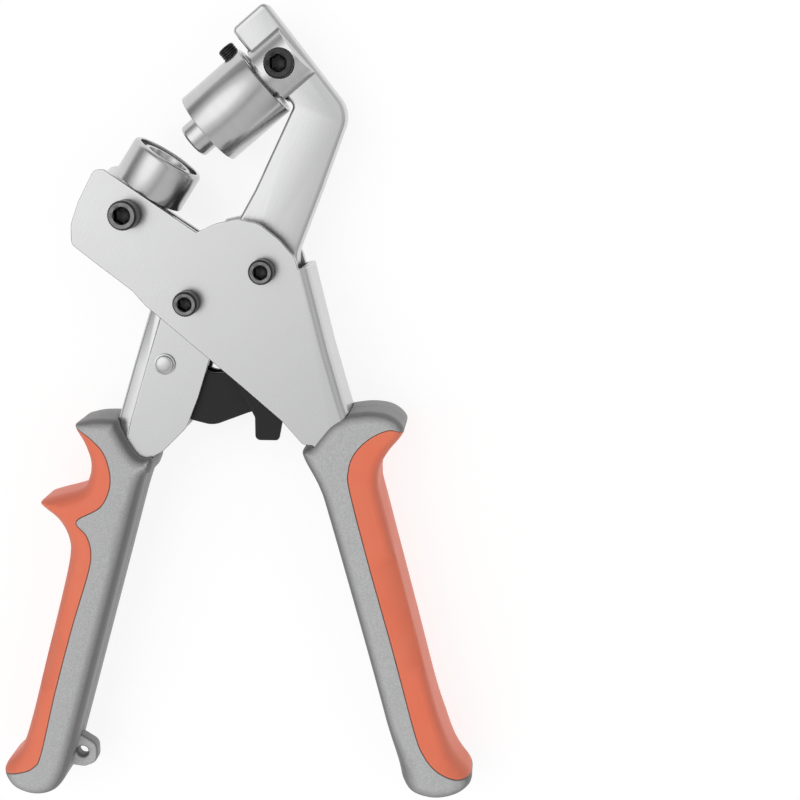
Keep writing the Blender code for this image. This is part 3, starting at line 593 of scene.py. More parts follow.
def turned_look(name, angle):
    """Bright turned steel: fine rings round an axis at this angle in the plates' plane."""
    n = new_look(name)
    rings = n.noise(1.0, 2.0, (4200.0, 30.0, 30.0), angle)
    bands = n.noise(1.0, 1.0, (420.0, 12.0, 12.0), angle)
    clouds = n.noise(60.0, 2.0)
    base = n.mix(bands, (0.54, 0.54, 0.545), (0.60, 0.60, 0.60))
    base = n.worn(base, 0.0004, (0.78, 0.78, 0.78))
    rough = n.ramp(clouds, 0.3, 0.7, 0.22, 0.27)
    normal = n.bump(rings, 0.06, 0.00001)
    normal = n.bump(bands, 0.04, 0.00002, normal)
    return n.finish(base, rough, 1.0, normal, Anisotropic=0.35)


def steel_look():
    n = new_look("plain_steel")
    clouds = n.noise(300.0, 3.0)
    base = n.mix(clouds, (0.42, 0.42, 0.425), (0.52, 0.52, 0.52))
    base = n.worn(base, 0.0003, (0.72, 0.72, 0.72))
    return n.finish(base, n.ramp(clouds, 0.3, 0.7, 0.26, 0.38), 1.0, n.bump(clouds, 0.1, 0.00003))


def oxide_look(name, face):
    """Black oxide on screws: a dark, slightly oily sheen that thins on the edges and, when face is
    above 0, a painted highlight: a lighter colour on the faces that look straight up or down, such
    as the flat faces of the heads."""
    n = new_look(name)
    clouds = n.noise(500.0, 3.0)
    base = n.mix(clouds, (0.030, 0.030, 0.032), (0.055, 0.055, 0.057))
    # Painted highlight: faces that look straight up or down are given a lighter colour.
    painted_top_highlight = n.ramp(n.facing_up(), 0.93, 0.99, 0.0, face)
    base = n.mix(painted_top_highlight, base, (0.42, 0.42, 0.42))
    base = n.worn(base, 0.0003, (0.11, 0.11, 0.11))
    return n.finish(base, n.ramp(clouds, 0.3, 0.7, 0.28, 0.40), 1.0, n.bump(clouds, 0.15, 0.00003))


def coated_look():
    """Black baked coating with a fine orange-peel surface."""
    n = new_look("black_coated_steel")
    peel = n.noise(900.0, 2.0)
    base = n.mix(peel, (0.010, 0.010, 0.011), (0.018, 0.018, 0.019))
    base = n.worn(base, 0.0004, (0.07, 0.07, 0.072))
    rough = n.ramp(peel, 0.3, 0.7, 0.38, 0.50)
    return n.finish(base, rough, 0.0, n.bump(peel, 0.2, 0.00005), Specular_IOR_Level=0.3)


def grip_look():
    """Grey moulded plastic with a fine sandy grain, and painted shade where it rolls over to the
    sides.
    """
    n = new_look("grip_grey")
    grain = n.noise(1900.0, 3.0, roughness=0.65)
    coarse = n.noise(420.0, 2.0)
    base = n.mix(n.ramp(grain, 0.35, 0.65, 0.0, 1.0), (0.48, 0.482, 0.485), (0.64, 0.642, 0.645))
    base = n.mix(n.ramp(coarse, 0.3, 0.7, 0.0, 0.25), base, (0.48, 0.48, 0.482))
    base = n.worn(base, 0.0006, (0.62, 0.62, 0.62))
    # Painted shade: the grey turns up to 72 percent towards near black where the grip rolls over to
    # its sides.
    base = n.painted_roll_shade(base, 0.72)
    normal = n.bump(grain, 0.35, 0.00010)
    return n.finish(base, n.ramp(grain, 0.3, 0.7, 0.50, 0.64), 0.0, normal)


def panel_look():
    """Soft orange rubber, nearly smooth, with faint clouding and painted shade where it rolls over
    to the sides.
    """
    n = new_look("panel_orange")
    clouds = n.noise(55.0, 2.0)
    fine = n.noise(2600.0, 2.0)
    base = n.mix(n.ramp(clouds, 0.3, 0.7, 0.0, 1.0), (0.99, 0.205, 0.104), (1.0, 0.235, 0.125))
    base = n.worn(base, 0.0006, (1.0, 0.31, 0.19))
    # Painted shade: the orange turns up to 28 percent towards near black where the panel rolls over
    # to its sides.
    base = n.painted_roll_shade(base, 0.28)
    normal = n.bump(fine, 0.12, 0.00004)
    return n.finish(base, n.ramp(clouds, 0.3, 0.7, 0.44, 0.54), 0.0, normal, Subsurface_Weight=0.04)


# Each look of a piece, with the name of its slot.
NICKEL = (nickel_look(), "nickel_plated_sheet")
PUNCH_STEEL = (turned_look("turned_steel_punch", HEAD_ANGLE), "turned_steel")
DIE_STEEL = (turned_look("turned_steel_die", DIE_ANGLE), "turned_steel")
BLACK_OXIDE = (oxide_look("black_oxide", 0.02), "black_oxide")
# The frame's cap screws: black oxide with a strong painted highlight on their flat faces.
OXIDE_PAINTED_TOP_HIGHLIGHT = (oxide_look("black_oxide_painted_top_highlight", 0.42), "black_oxide")
BLACK_COATED = (coated_look(), "black_coated_steel")
GRIP_GREY = (grip_look(), "grip_grey")
PANEL_ORANGE = (panel_look(), "panel_orange")


# ---- outlines of the sheet parts

FRAME_WEB = [(15.2, 1.3), (22.0, -27.0), (27.2, -45.6)]
FRAME_TANG_RIGHT = [(32.4, -62.0), (35.6, -75.0), (51.2, -138.0)]
FRAME_TANG_LEFT = [(41.0, -140.5), (25.2, -75.0)]
FRAME_PLATE = (
    [
        (-53.4, 33.5, 1.8), (-56.6, 33.4, 2.5), (-62.4, 22.6, 14.0), (-65.2, 15.0, 10.0),
        (-65.2, 8.4, 2.5), (-57.1, 2.0, 12.0), (-45.0, -7.2, 3.0), (-40.4, -12.4, 3.0),
        (-8.7, -39.3), (5.6, -51.8, 10.0), (12.6, -59.8, 1.0), (16.2, -60.2, 1.0),
    ]
    + FRAME_TANG_LEFT[::-1] + FRAME_TANG_RIGHT[::-1] + FRAME_WEB[::-1]
    + [
        (11.7, 0.46), (10.6, 4.4, 4.0), (5.6, 10.2, 8.0), (-1.2, 15.6, 8.0), (-8.6, 17.2, 8.0),
        (-16.0, 15.6, 8.0), (-22.4, 12.6, 0.8),
    ]
)
FRAME_RIGHT_SIDE = FRAME_WEB + FRAME_TANG_RIGHT
BACK_NOTCH = [
    (-37.6, 24.0), (-37.6, 19.2), (-22.6, 9.2), (-19.6, 10.4), (-15.0, 17.0), (-20.0, 24.0),
]

LEVER_WEB = [(-38.4, -7.6), (-46.6, -33.0), (-52.9, -53.0)]
LEVER_TANG_LEFT = [(-59.0, -78.0), (-77.6, -141.5)]
LEVER_LEFT_SIDE = LEVER_WEB + LEVER_TANG_LEFT
LEVER_PLATE = LEVER_LEFT_SIDE + [
    (-67.6, -144.0), (-49.0, -79.5), (-42.6, -67.2, 3.0), (-37.2, -64.2, 3.0),
    (-28.6, -55.6, 9.0), (-24.3, -45.0, 20.0), (-19.9, -31.3, 3.0), (-16.2, -26.4, 3.0),
    (-14.2, -13.0, 8.0), (-15.6, -1.2, 8.0), (-28.0, 1.8, 12.0), (-37.0, -1.6, 5.0),
]
# The lever's fold as (inset, drop) pairs: a crease beside the flat face, a slope and a round.
LEVER_FLAT_END = [(4.9, 0.0)]
LEVER_CREASE = [(4.7, 0.22), (4.5, 0.16), (4.3, 0.2)]
LEVER_ROUND = [(1.1, 1.0), (0.65, 1.22), (0.3, 1.6), (0.1, 2.05), (0.0, 2.6)]

ARM_SIDE_INNER = -42.4
ARM_SIDE_OUTER = -57.0
ARM_END = -67.6
ARM_PLATE = [
    (*along(HEAD_ANGLE, ARM_SIDE_INNER, ARM_END), 2.0),
    (*along(HEAD_ANGLE, ARM_SIDE_INNER, -35.4), 1.8), (-3.6, 26.4, 12.0), (-11.6, 12.4, 8.0),
    (-10.4, -9.0, 10.0), (-5.4, -26.0, 6.0), (-4.6, -46.0, 6.2), (8.4, -46.4, 6.2),
    (8.4, -26.0, 6.0), (10.6, -8.0, 10.0), (10.8, 5.4, 8.0), (19.2, 26.5, 20.0),
    (28.9, 52.3, 10.0), (*along(HEAD_ANGLE, ARM_SIDE_OUTER, ARM_END), 2.0),
]

LINK_PLATE = [
    (-42.4, -34.4, 5.5), (-36.0, -46.6, 10.0), (-27.6, -53.2, 6.0), (-19.6, -55.2, 9.0),
    (-6.6, -50.2, 20.0), (6.4, -47.4, 5.6), (9.4, -37.0, 5.6), (1.6, -32.2, 5.6),
    (-9.0, -36.2, 10.0), (-21.4, -36.8, 6.0), (-28.2, -27.4, 5.5), (-39.4, -25.4, 5.5),
]

LATCH_PLATE = [
    (-10.8, -38.6, 1.0), (-5.6, -48.4, 3.0), (-4.2, -51.2, 1.5), (-4.2, -59.2, 1.8),
    (4.0, -59.2, 1.4), (5.4, -52.0, 2.0), (14.2, -37.0, 6.0), (17.6, -26.0, 5.0),
    (11.4, -20.6, 4.0), (2.0, -16.8, 6.0), (-15.6, -7.4, 1.0), (-17.3, -14.4, 0.7),
    (-15.1, -15.5, 0.6), (-13.7, -11.6, 0.6), (-3.0, -17.1, 4.0), (-3.2, -27.0, 6.0),
]

LEVER_HANDLE = [
    (-67.4, -55.0), (-64.2, -53.2), (-59.0, -52.4), (-53.2, -52.8), (-51.9, -55.6),
    (-49.3, -60.6), (-46.4, -65.0), (-43.8, -66.4), (-41.4, -66.2), (-40.6, -68.2),
    (-41.8, -71.6), (-44.4, -76.0), (-53.2, -106.6), (-62.9, -140.4), (-71.6, -170.6),
    (-76.0, -184.6), (-80.9, -192.0), (-88.4, -194.0), (-95.8, -191.4), (-99.3, -186.0),
    (-98.3, -181.6), (-92.4, -175.0), (-88.1, -163.2), (-82.0, -141.2), (-75.8, -119.1),
    (-71.8, -103.0), (-71.9, -95.6), (-75.0, -89.4), (-80.7, -84.4), (-81.0, -82.6),
    (-77.4, -81.2), (-66.8, -78.0), (-63.4, -73.6), (-62.4, -67.6), (-64.3, -61.2),
]
LEVER_PANEL_LINE = [
    (-71.0, -54.6), (-66.6, -55.7), (-61.4, -58.7), (-56.8, -63.9), (-54.8, -71.1),
    (-55.4, -77.4), (-59.0, -83.6), (-67.4, -88.6), (-64.0, -93.6), (-62.6, -99.6),
    (-63.9, -107.4), (-70.7, -128.3), (-77.8, -152.5), (-84.0, -176.2), (-87.0, -181.4),
    (-91.6, -183.6), (-101.0, -185.4),
]
LEVER_PANEL_FAR = [(-112.0, -180.0), (-112.0, -48.0), (-72.0, -48.0)]

FIXED_HANDLE = [
    (27.2, -49.6), (31.2, -48.7), (36.0, -48.3), (41.4, -49.0), (45.2, -51.1), (47.4, -54.2),
    (46.1, -57.3), (42.0, -62.3), (39.2, -67.6), (38.6, -73.6), (40.2, -81.4), (50.6, -122.2),
    (58.0, -152.0), (62.0, -164.4), (64.8, -171.4), (67.6, -176.0), (70.6, -179.8),
    (71.8, -183.0), (70.4, -186.6), (65.6, -190.0), (58.2, -191.5), (50.6, -189.5),
    (46.9, -184.6), (44.5, -174.2), (34.6, -135.4), (21.7, -87.3), (18.0, -75.4), (13.2, -66.0),
    (12.4, -62.4), (15.4, -60.4), (17.8, -57.4), (22.0, -52.6),
]
FIXED_PANEL_LINE = [
    (55.0, -56.6), (47.2, -55.3), (43.0, -54.0), (37.9, -55.8), (33.4, -59.1), (30.0, -63.4),
    (28.5, -68.4), (28.8, -75.4), (35.3, -101.9), (43.6, -132.9), (51.4, -163.6), (54.6, -172.0),
    (58.6, -177.4), (64.0, -180.9), (69.0, -181.9), (75.4, -180.8),
]
FIXED_PANEL_FAR = [(84.0, -178.0), (84.0, -52.0)]

SEAM = 0.1
GREY_SEAM_ROLL = 0.35
PAD_SEAM_ROLL = 0.4
MOULD_GROOVE = 0.8
COLLAR_ROLL = 5.0
HANDLE_ROLL = 7.0
BUTT_ROLL = 10.0
COLLAR_END = (-64.0, -82.0)
BUTT_END = (-160.0, -182.0)
LEVER_HANDLE_FRONT = 1.0
LEVER_HANDLE_BACK = -25.0
FIXED_HANDLE_FRONT = 2.2
FIXED_HANDLE_BACK = -26.2
HANGING_EYE = (-71.6, -179.2)


# ---- frame


def add_frame_channel():
    """Two plates and the folded side that joins them, bent from one sheet."""
    outline = corners(FRAME_PLATE)
    shape = folded(outline, FRAME_RIGHT_SIDE, -FRAME_DEPTH, 0.0, rounded(FRAME_FOLD, 12), left=-1.0)
    inner_side = moved_line(FRAME_RIGHT_SIDE, -FRAME_SHEET)
    top = (inner_side[0][0] - 6.5, inner_side[0][1] + 28.0)
    inner_side = [top] + inner_side
    hollow = inner_side + [(38.0, -150.0), (-90.0, -150.0), (-90.0, 40.0)]
    inner = folded(
        hollow, inner_side, FRAME_SHEET - FRAME_DEPTH, -FRAME_SHEET,
        rounded(FRAME_FOLD - FRAME_SHEET, 4), left=-1.0,
    )
    low = -FRAME_DEPTH - 1.0
    holes = joined(
        cylinder(JAW_PIVOT, 2.8, 1.0, low), cylinder(LEVER_PIVOT, 2.8, 1.0, low),
        cylinder(DIE_SCREW, 3.3, 1.0, low), cylinder(LATCH_PIVOT, 2.3, -1.0, -FRAME_SHEET - 1.0),
    )
    lowered = prism(BACK_NOTCH, low, FRAME_SHEET - FRAME_DEPTH + 1.0)
    piece(
        "folded_frame", shape, "frame", NICKEL, "frame_channel",
        cuts=(inner, holes, lowered), bevel=0.25,
    )


def cap_screw(name, centre, size, head_radius, head_height, seat, end, socket, body, look):
    """A cap screw: a knurled, chamfered head with a hexagon socket, and a plain shank."""
    top = seat + head_height
    floor = top - head_height * SOCKET_SHARE
    fluted = knurl(head_radius, 0.1)
    profile = [
        (0.0, end), (size / 2.0 - 0.4, end), (size / 2.0, end + 0.4), (size / 2.0, seat),
        (head_radius - 0.35, seat), (fluted, seat + 0.35), (fluted, top - 0.95),
        *lip(head_radius, top, (-0.2, -0.85), (-0.2, -0.55), (-0.3, -0.3), (-0.65, 0.0)),
        (socket / 2.0 + 0.55, top), (hexagon(socket + 0.15), top - 0.3),
        (hexagon(socket), top - 0.5), (hexagon(socket), floor), (0.0, floor - socket * 0.3),
    ]
    shape = moved(turned(profile, 180), centre)
    piece(name + "_cap", shape, body, look, name, angle=38.0)


def hex_nut(name, centre, size, flats, high, low, body):
    """A thin nut, chamfered on both faces."""
    bore = size / 2.0 + 0.2
    most = flats / 2.0 + 0.1
    profile = [
        (bore + 0.4, low), (hexagon(flats, most), low), (hexagon(flats, most + 0.4), low + 0.2),
        (hexagon(flats), low + 0.5), (hexagon(flats), high - 0.5),
        (hexagon(flats, most + 0.4), high - 0.2), (hexagon(flats, most), high), (bore + 0.4, high),
        (bore, high - 0.4), (bore, low + 0.4),
    ]
    shape = moved(turned(profile, 96), centre)
    piece(name + "_hex", shape, body, BLACK_OXIDE, name, angle=28.0)


def spring_washer(name, centre, size, outer, low, high, body):
    """A split spring washer of square wire."""
    inner = size / 2.0 + 0.2
    profile = [
        (inner, low + 0.12), (inner + 0.12, low), (outer - 0.15, low), (outer, low + 0.15),
        (outer, high - 0.15), (outer - 0.15, high), (inner + 0.12, high), (inner, high - 0.12),
    ]
    shape = moved(turned(profile, 90, gap=9.0, turn=math.radians(75.0)), centre)
    piece(name + "_split", shape, body, BLACK_OXIDE, name)


def add_frame_screws():
    back = -FRAME_DEPTH - GAP
    for stem, centre, size, head, flats, socket, seat, nut in (
        ("jaw_pivot", JAW_PIVOT, 5.0, 4.25, 8.0, 4.0, 1.8, 2.7),
        ("lever_pivot", LEVER_PIVOT, 5.0, 4.25, 8.0, 4.0, 1.8, 2.7),
        ("die_screw", DIE_SCREW, 6.0, 5.0, 10.0, 5.0, 2.0, 3.1),
    ):
        screw = stem if stem == "die_screw" else stem + "_screw"
        end = back - nut - (0.1 if stem == "die_screw" else 0.4)
        cap_screw(screw, centre, size, head, size, seat, end, socket, "frame", OXIDE_PAINTED_TOP_HIGHLIGHT)
        spring_washer(stem + "_spring_washer", centre, size, head, GAP, seat - GAP, "frame")
        hex_nut(stem + "_nut", centre, size, flats, back, back - nut, "frame")


DIE_MOUTH = -12.7
DIE_BASE = 1.3
DIE_STEM_END = 19.0
DIE_RADIUS = 12.75
RING_BORE = 7.1
RING_LIP = -12.0


def add_die():
    """The die cup on its clamped stem, and the curling ring pressed into it."""
    wall = DIE_RADIUS - 1.8
    profile = [
        (0.0, DIE_STEM_END), (8.2, DIE_STEM_END), (9.0, DIE_STEM_END - 0.8), (9.0, DIE_BASE),
        *lip(DIE_RADIUS, DIE_BASE, (-0.5, 0.0), (-0.15, -0.15), (0.0, -0.5)),
        *lip(DIE_RADIUS, DIE_MOUTH, (0.0, 1.5), (-0.1, 0.95), (-0.4, 0.45), (-0.8, 0.12)),
        (DIE_RADIUS - 1.2, DIE_MOUTH), (wall + 0.25, DIE_MOUTH), (wall, DIE_MOUTH + 0.25),
        (wall, -5.4), (6.6, -5.4), (6.6, -2.6), (0.0, -2.6),
    ]
    cup = laid(turned(profile, 160), DIE_ANGLE)
    hole = cylinder(DIE_SCREW, 3.3, 5.0, -30.0)
    piece("die_body", cup, "frame", DIE_STEEL, "die_cup", cuts=(hole,))
    outer = DIE_RADIUS - 2.1
    profile = [
        (RING_BORE, -5.7), (outer, -5.7), (outer, -8.6),
        *lip(outer, 0.0, (-0.25, -8.85), (-0.5, -8.9), (-0.85, -8.8), (-1.2, -8.6)),
        *lip(outer, 0.0, (-1.6, -8.4), (-2.0, -8.5), (-2.3, -8.9)),
        *lip(RING_BORE, 0.0, (1.15, -9.6), (1.15, -10.4), (1.55, -10.8), (1.7, -11.2)),
        *lip(RING_BORE, 0.0, (1.65, -11.6), (1.4, -11.9)),
        *lip(RING_BORE, RING_LIP, (1.1, 0.0), (0.3, 0.0), (0.08, 0.1), (0.0, 0.3)),
    ]
    anvil = laid(turned(profile, 128), DIE_ANGLE)
    piece("curling_ring", anvil, "frame", DIE_STEEL, "die_curling_ring")


# ---- handles


def around(plate, side, low, high, fold, left=1.0):
    """The room for a folded plate inside a grip: its outline grown by the gap."""
    outline = corners(plate)
    wide = grown(outline, GAP)
    moves = {(round(x, 2), round(y, 2)): new for (x, y), new in zip(outline, wide)}
    wide_side = [moves[(round(x, 2), round(y, 2))] for x, y in side]
    return folded(wide, wide_side, low, high, fold, left)


def eased(y, start, end):
    """0 above the start and 1 below the end, with a smooth change between them."""
    t = max(0.0, min(1.0, (start - y) / (start - end)))
    return t * t * (3.0 - 2.0 * t)


def lever_roll(point):
    """The rolled rim is small at the collar round the metal, and larger along the handle."""
    return COLLAR_ROLL + (HANDLE_ROLL - COLLAR_ROLL) * eased(point[1], *COLLAR_END)


def fixed_roll(point):
    """The fixed handle's roll is small down to its butt end, where the tang has ended."""
    return COLLAR_ROLL + (BUTT_ROLL - COLLAR_ROLL) * eased(point[1], *BUTT_END)


def region(rim, line, far, keep_panel):
    """The part of the handle outline on one side of the parting line."""
    side = line + far
    blank = prism(rim, 0.0, 1.0)
    cutter = prism(grown(side, -SEAM) if keep_panel else side, -1.0, 2.0)
    a = mesh_object("region", blank)
    helper = boolean(a, cutter, "INTERSECT" if keep_panel else "DIFFERENCE")
    applied(a)
    shape = bmesh.new()
    shape.from_mesh(a.data)
    flat = math.radians(0.5)
    bmesh.ops.dissolve_limit(shape, angle_limit=flat, verts=shape.verts, edges=shape.edges)
    tops = [face for face in shape.faces if face.normal.z > 0.9]
    top = max(tops, key=lambda face: face.calc_area())
    outline = []
    for vertex in top.verts:
        p = design(vertex.co)
        if not outline or math.dist(outline[-1], p) > 0.05:
            outline.append(p)
    shape.free()
    bpy.data.meshes.remove(a.data)
    bpy.data.meshes.remove(helper)
    return outline


def even_steps(outline, longest):
    """The outline with its long sides cut into shorter ones."""
    result = []
    for i in range(len(outline)):
        a = Vector(outline[i])
        b = Vector(outline[(i + 1) % len(outline)])
        count = max(1, math.ceil((b - a).length / longest))
        result += [tuple(a.lerp(b, k / count)) for k in range(count)]
    return result


def moulding(rim, part, low, high, roll_at, seam_roll, groove=0.0):
    """A moulded part: rolled over along the handle's rim, with a small radius along the seam. A
    groove runs round its side where the two halves of the mould meet."""
    part = even_steps(part, 0.9)
    if area(part) < 0.0:
        part.reverse()
    to_rim = [distance_to(rim, p) for p in part]
    points = [Vector(p) for p in part]
    count = len(points)
    edges = [(i, (i + 1) % count) for i in range(count)]
    steps = 8
    for k in range(1, steps + 1):
        share = 1.0 - math.cos(math.pi / 2.0 * k / steps)
        insets = [(roll_at(p) if gap < 0.02 else seam_roll) * share for p, gap in zip(part, to_rim)]
        line = grown(part, [-inset for inset in insets])
        kept = [
            inside(part, p) and distance_to(part, p) > inset * 0.96
            for p, inset in zip(line, insets)
        ]
        for i in range(count):
            if not kept[i]:
                continue
            points.append(Vector(line[i]))
            same = abs(insets[i] - insets[i - 1]) < 0.3 * roll_at(part[i]) * share
            if i > 0 and kept[i - 1] and same:
                edges.append((len(points) - 2, len(points) - 1))
    found = delaunay_2d_cdt(points, edges, [list(range(count))], 1, 1e-3)
    flat, faces = found[0], found[2]
    seam_sides = [
        (part[i - 1], part[i]) for i in range(count) if to_rim[i] > 0.02 or to_rim[i - 1] > 0.02
    ]
    shape = bmesh.new()
    top = []
    bottom = []
    for p in flat:
        radius = roll_at(p)
        d = min(distance_to(rim, p), radius)
        rise = math.sqrt(max(0.0, radius * radius - (radius - d) ** 2)) - radius
        near = min((distance_to(side, p, closed=False) for side in seam_sides), default=1e9)
        if near < seam_roll:
            rise -= seam_roll - math.sqrt(max(0.0, seam_roll**2 - (seam_roll - near) ** 2))
        top.append(shape.verts.new((p.x, p.y, high + rise)))
        bottom.append(shape.verts.new((p.x, p.y, low - rise)))
    used = set()
    for a, b, c in faces:
        used.update(((a, b), (b, c), (c, a)))
        shape.faces.new((top[a], top[b], top[c]))
        shape.faces.new((bottom[c], bottom[b], bottom[a]))
    after = {i: j for i, j in used if (j, i) not in used}
    before = {j: i for i, j in after.items()}
    columns = {}
    for i in after:
        step = (flat[after[i]] - flat[before[i]]).normalized()
        columns[i] = [top[i]]
        if groove > 0.0:
            for height, depth in ((0.9, 0.0), (0.4, groove), (-0.4, groove), (-0.9, 0.0)):
                x = flat[i].x - step.y * depth
                y = flat[i].y + step.x * depth
                columns[i].append(shape.verts.new((x, y, MID + height)))
        columns[i].append(bottom[i])
    for i, j in after.items():
        for a, b, c, d in zip(columns[j], columns[i], columns[i][1:], columns[j][1:]):
            shape.faces.new((a, b, c, d))
    loose = [v for v in shape.verts if not v.link_faces]
    bmesh.ops.delete(shape, geom=loose, context="VERTS")
    return facing_out(shape)


def add_handle(name, outline, line, far, front, back, roll, cavity, body, adds=(), cuts=()):
    """A grey moulded grip and its soft side panel, parted along a line."""
    rim = smooth(outline)
    seam = smooth(line, closed=False)
    grey = region(rim, seam, far, False)
    soft = region(rim, seam, far, True)
    shell = moulding(rim, grey, back, front, roll, GREY_SEAM_ROLL, MOULD_GROOVE)
    pad = moulding(rim, soft, back, front, roll, PAD_SEAM_ROLL)
    piece(
        name + "_grip_shell", shell, body, GRIP_GREY, name + "_grip",
        cuts=(cavity(), *cuts), adds=adds, angle=50.0, solver="MANIFOLD",
    )
    piece(
        name + "_grip_pad", pad, body, PANEL_ORANGE, name + "_grip_panel",
        cuts=(cavity(),), angle=50.0, solver="MANIFOLD",
    )


def add_fixed_handle():
    def cavity():
        roll = rounded(FRAME_FOLD, 5)
        low = -FRAME_DEPTH - GAP
        return around(FRAME_PLATE, FRAME_RIGHT_SIDE, low, GAP, roll, left=-1.0)

    add_handle(
        "fixed", FIXED_HANDLE, FIXED_PANEL_LINE, FIXED_PANEL_FAR, FIXED_HANDLE_FRONT,
        FIXED_HANDLE_BACK, fixed_roll, cavity, "frame",
    )


def add_lever_handle():
    def cavity():
        fold = LEVER_FLAT_END + LEVER_ROUND
        return around(LEVER_PLATE, LEVER_LEFT_SIDE, LEVER_BACK - GAP, LEVER_FRONT + GAP, fold)

    x, y = HANGING_EYE
    points = [
        (x - 0.6, y + 6.8, 2.0), (x + 5.4, y + 3.0, 3.6), (x + 5.4, y - 4.0, 3.8),
        (x + 0.4, y - 6.0, 2.6), (x - 8.0, y - 5.0), (x - 10.0, y + 3.0),
    ]
    lug = rounded_plate(corners(points), MID - 2.8, MID + 2.8, 1.0, 4)
    profile = [
        (0.0, -8.0), (2.7, -8.0), (2.7, -2.8), (2.1, -2.2), (2.1, 2.2), (2.7, 2.8),
        (2.7, 8.0), (0.0, 8.0),
    ]
    eye = moved(turned(profile, 48), HANGING_EYE, MID)
    add_handle(
        "lever", LEVER_HANDLE, LEVER_PANEL_LINE, LEVER_PANEL_FAR, LEVER_HANDLE_FRONT,
        LEVER_HANDLE_BACK, lever_roll, cavity, "lever", adds=(lug,), cuts=(eye,),
    )


# ---- lever, links, latch


def add_lever_channel():
    outline = corners(LEVER_PLATE)
    fold = LEVER_FLAT_END + LEVER_CREASE + LEVER_ROUND
    shape = folded(outline, LEVER_LEFT_SIDE, LEVER_BACK, LEVER_FRONT, fold)
    inner_side = moved_line(LEVER_LEFT_SIDE, LEVER_SHEET)
    top = (inner_side[0][0] + 6.0, inner_side[0][1] + 18.0)
    inner_side = [top] + inner_side
    hollow = inner_side + [(-66.0, -165.0), (0.0, -165.0), (0.0, 20.0)]
    inner = folded(
        hollow, inner_side, LEVER_BACK + LEVER_SHEET, LEVER_FRONT - LEVER_SHEET,
        [(2.6, 0.0), (0.3, 1.0), (0.0, 1.6)],
    )
    holes = joined(
        cylinder(LEVER_PIVOT, 4.7, 0.0, -25.0), cylinder(LINK_RIVET, 2.7, 0.0, -25.0),
        cylinder(CATCH_PIN, 1.6, 0.0, -9.0, 48),
    )
    piece("folded_lever", shape, "lever", NICKEL, "lever_channel", cuts=(inner, holes), bevel=0.3)


def add_link_rivet():
    """A round-headed rivet through the lever and both links."""
    front = LEVER_FRONT + GAP
    back = LEVER_BACK - GAP
    profile = [
        (0.0, back - 1.2), (1.2, back - 1.18), (2.2, back - 1.08), (3.0, back - 0.8),
        (3.6, back - 0.4), (3.8, back), (2.5, back), (2.5, front), (3.6, front),
        *lip(0.0, front, (3.65, 0.15), (3.65, 0.45), (3.5, 0.6), (3.25, 0.65), (3.2, 0.95)),
        *lip(0.0, front, (3.05, 1.2), (2.7, 1.4), (2.1, 1.55), (1.3, 1.65), (0.0, 1.7)),
    ]
    rivet = moved(turned(profile, 72), LINK_RIVET)
    piece("domed_rivet", rivet, "lever", NICKEL, "link_rivet")


def add_links():
    for name, (front, back) in LINK_LAYERS.items():
        holes = joined(
            cylinder(LINK_RIVET, 2.8, front + 1.0, back - 1.0),
            cylinder(TAIL_PIN, 3.4, front + 1.0, back - 1.0),
        )
        shape = prism(corners(LINK_PLATE), back, front)
        piece(name + "_plate", shape, "link", BLACK_COATED, name, cuts=(holes,), bevel=0.35)


def add_storage_latch():
    shape = prism(corners(LATCH_PLATE), LATCH_BACK, LATCH_FRONT)
    hole = cylinder(LATCH_PIVOT, 2.2, 0.0, -8.0)
    piece(
        "latch_hook_plate", shape, "latch", BLACK_COATED, "storage_latch",
        cuts=(hole,), bevel=0.22,
    )


# ---- jaw

HEAD_SHOULDER = -40.0
HEAD_RIM = -14.4
HEAD_RADIUS = 13.2
SHANK_RADIUS = 11.0
SHANK_END = -55.3
SET_SCREW_ALONG = -36.6
ASIDE = -90.0
SPOT_FACE = -5.0


def add_jaw_arm():
    shape = rounded_plate(corners(ARM_PLATE), ARM_BACK, ARM_FRONT, 1.4, 5)
    tail = [(-40.0, -70.0), (40.0, -70.0), (40.0, -25.0), (-40.0, -25.0)]
    thin = joined(prism(tail, TAIL_FRONT, 5.0), prism(tail, -30.0, TAIL_BACK))
    holes = joined(
        cylinder(JAW_PIVOT, 5.2, 0.0, -25.0), cylinder(TAIL_PIN, 3.2, 0.0, -25.0),
        cylinder(HEAD_SCREW, 3.3, 0.0, -25.0),
    )
    piece("forged_arm", shape, "jaw", NICKEL, "jaw_arm", cuts=(thin, holes))


def sloped_end(inner, outer):
    """The slope on the end of one fork arm, from the arm's face out to the round of the shank."""
    rings = []
    for height, reach in ((inner, 0.0), (outer, 1.6)):
        near = SHANK_END + reach
        spots = ((near, 14.0), (near, -14.0), (SHANK_END - 8.0, -14.0), (SHANK_END - 8.0, 14.0))
        outline = [along(HEAD_ANGLE, d, LINE_OFFSET + side) for d, side in spots]
        rings.append((outline, height))
    return stacked(rings)


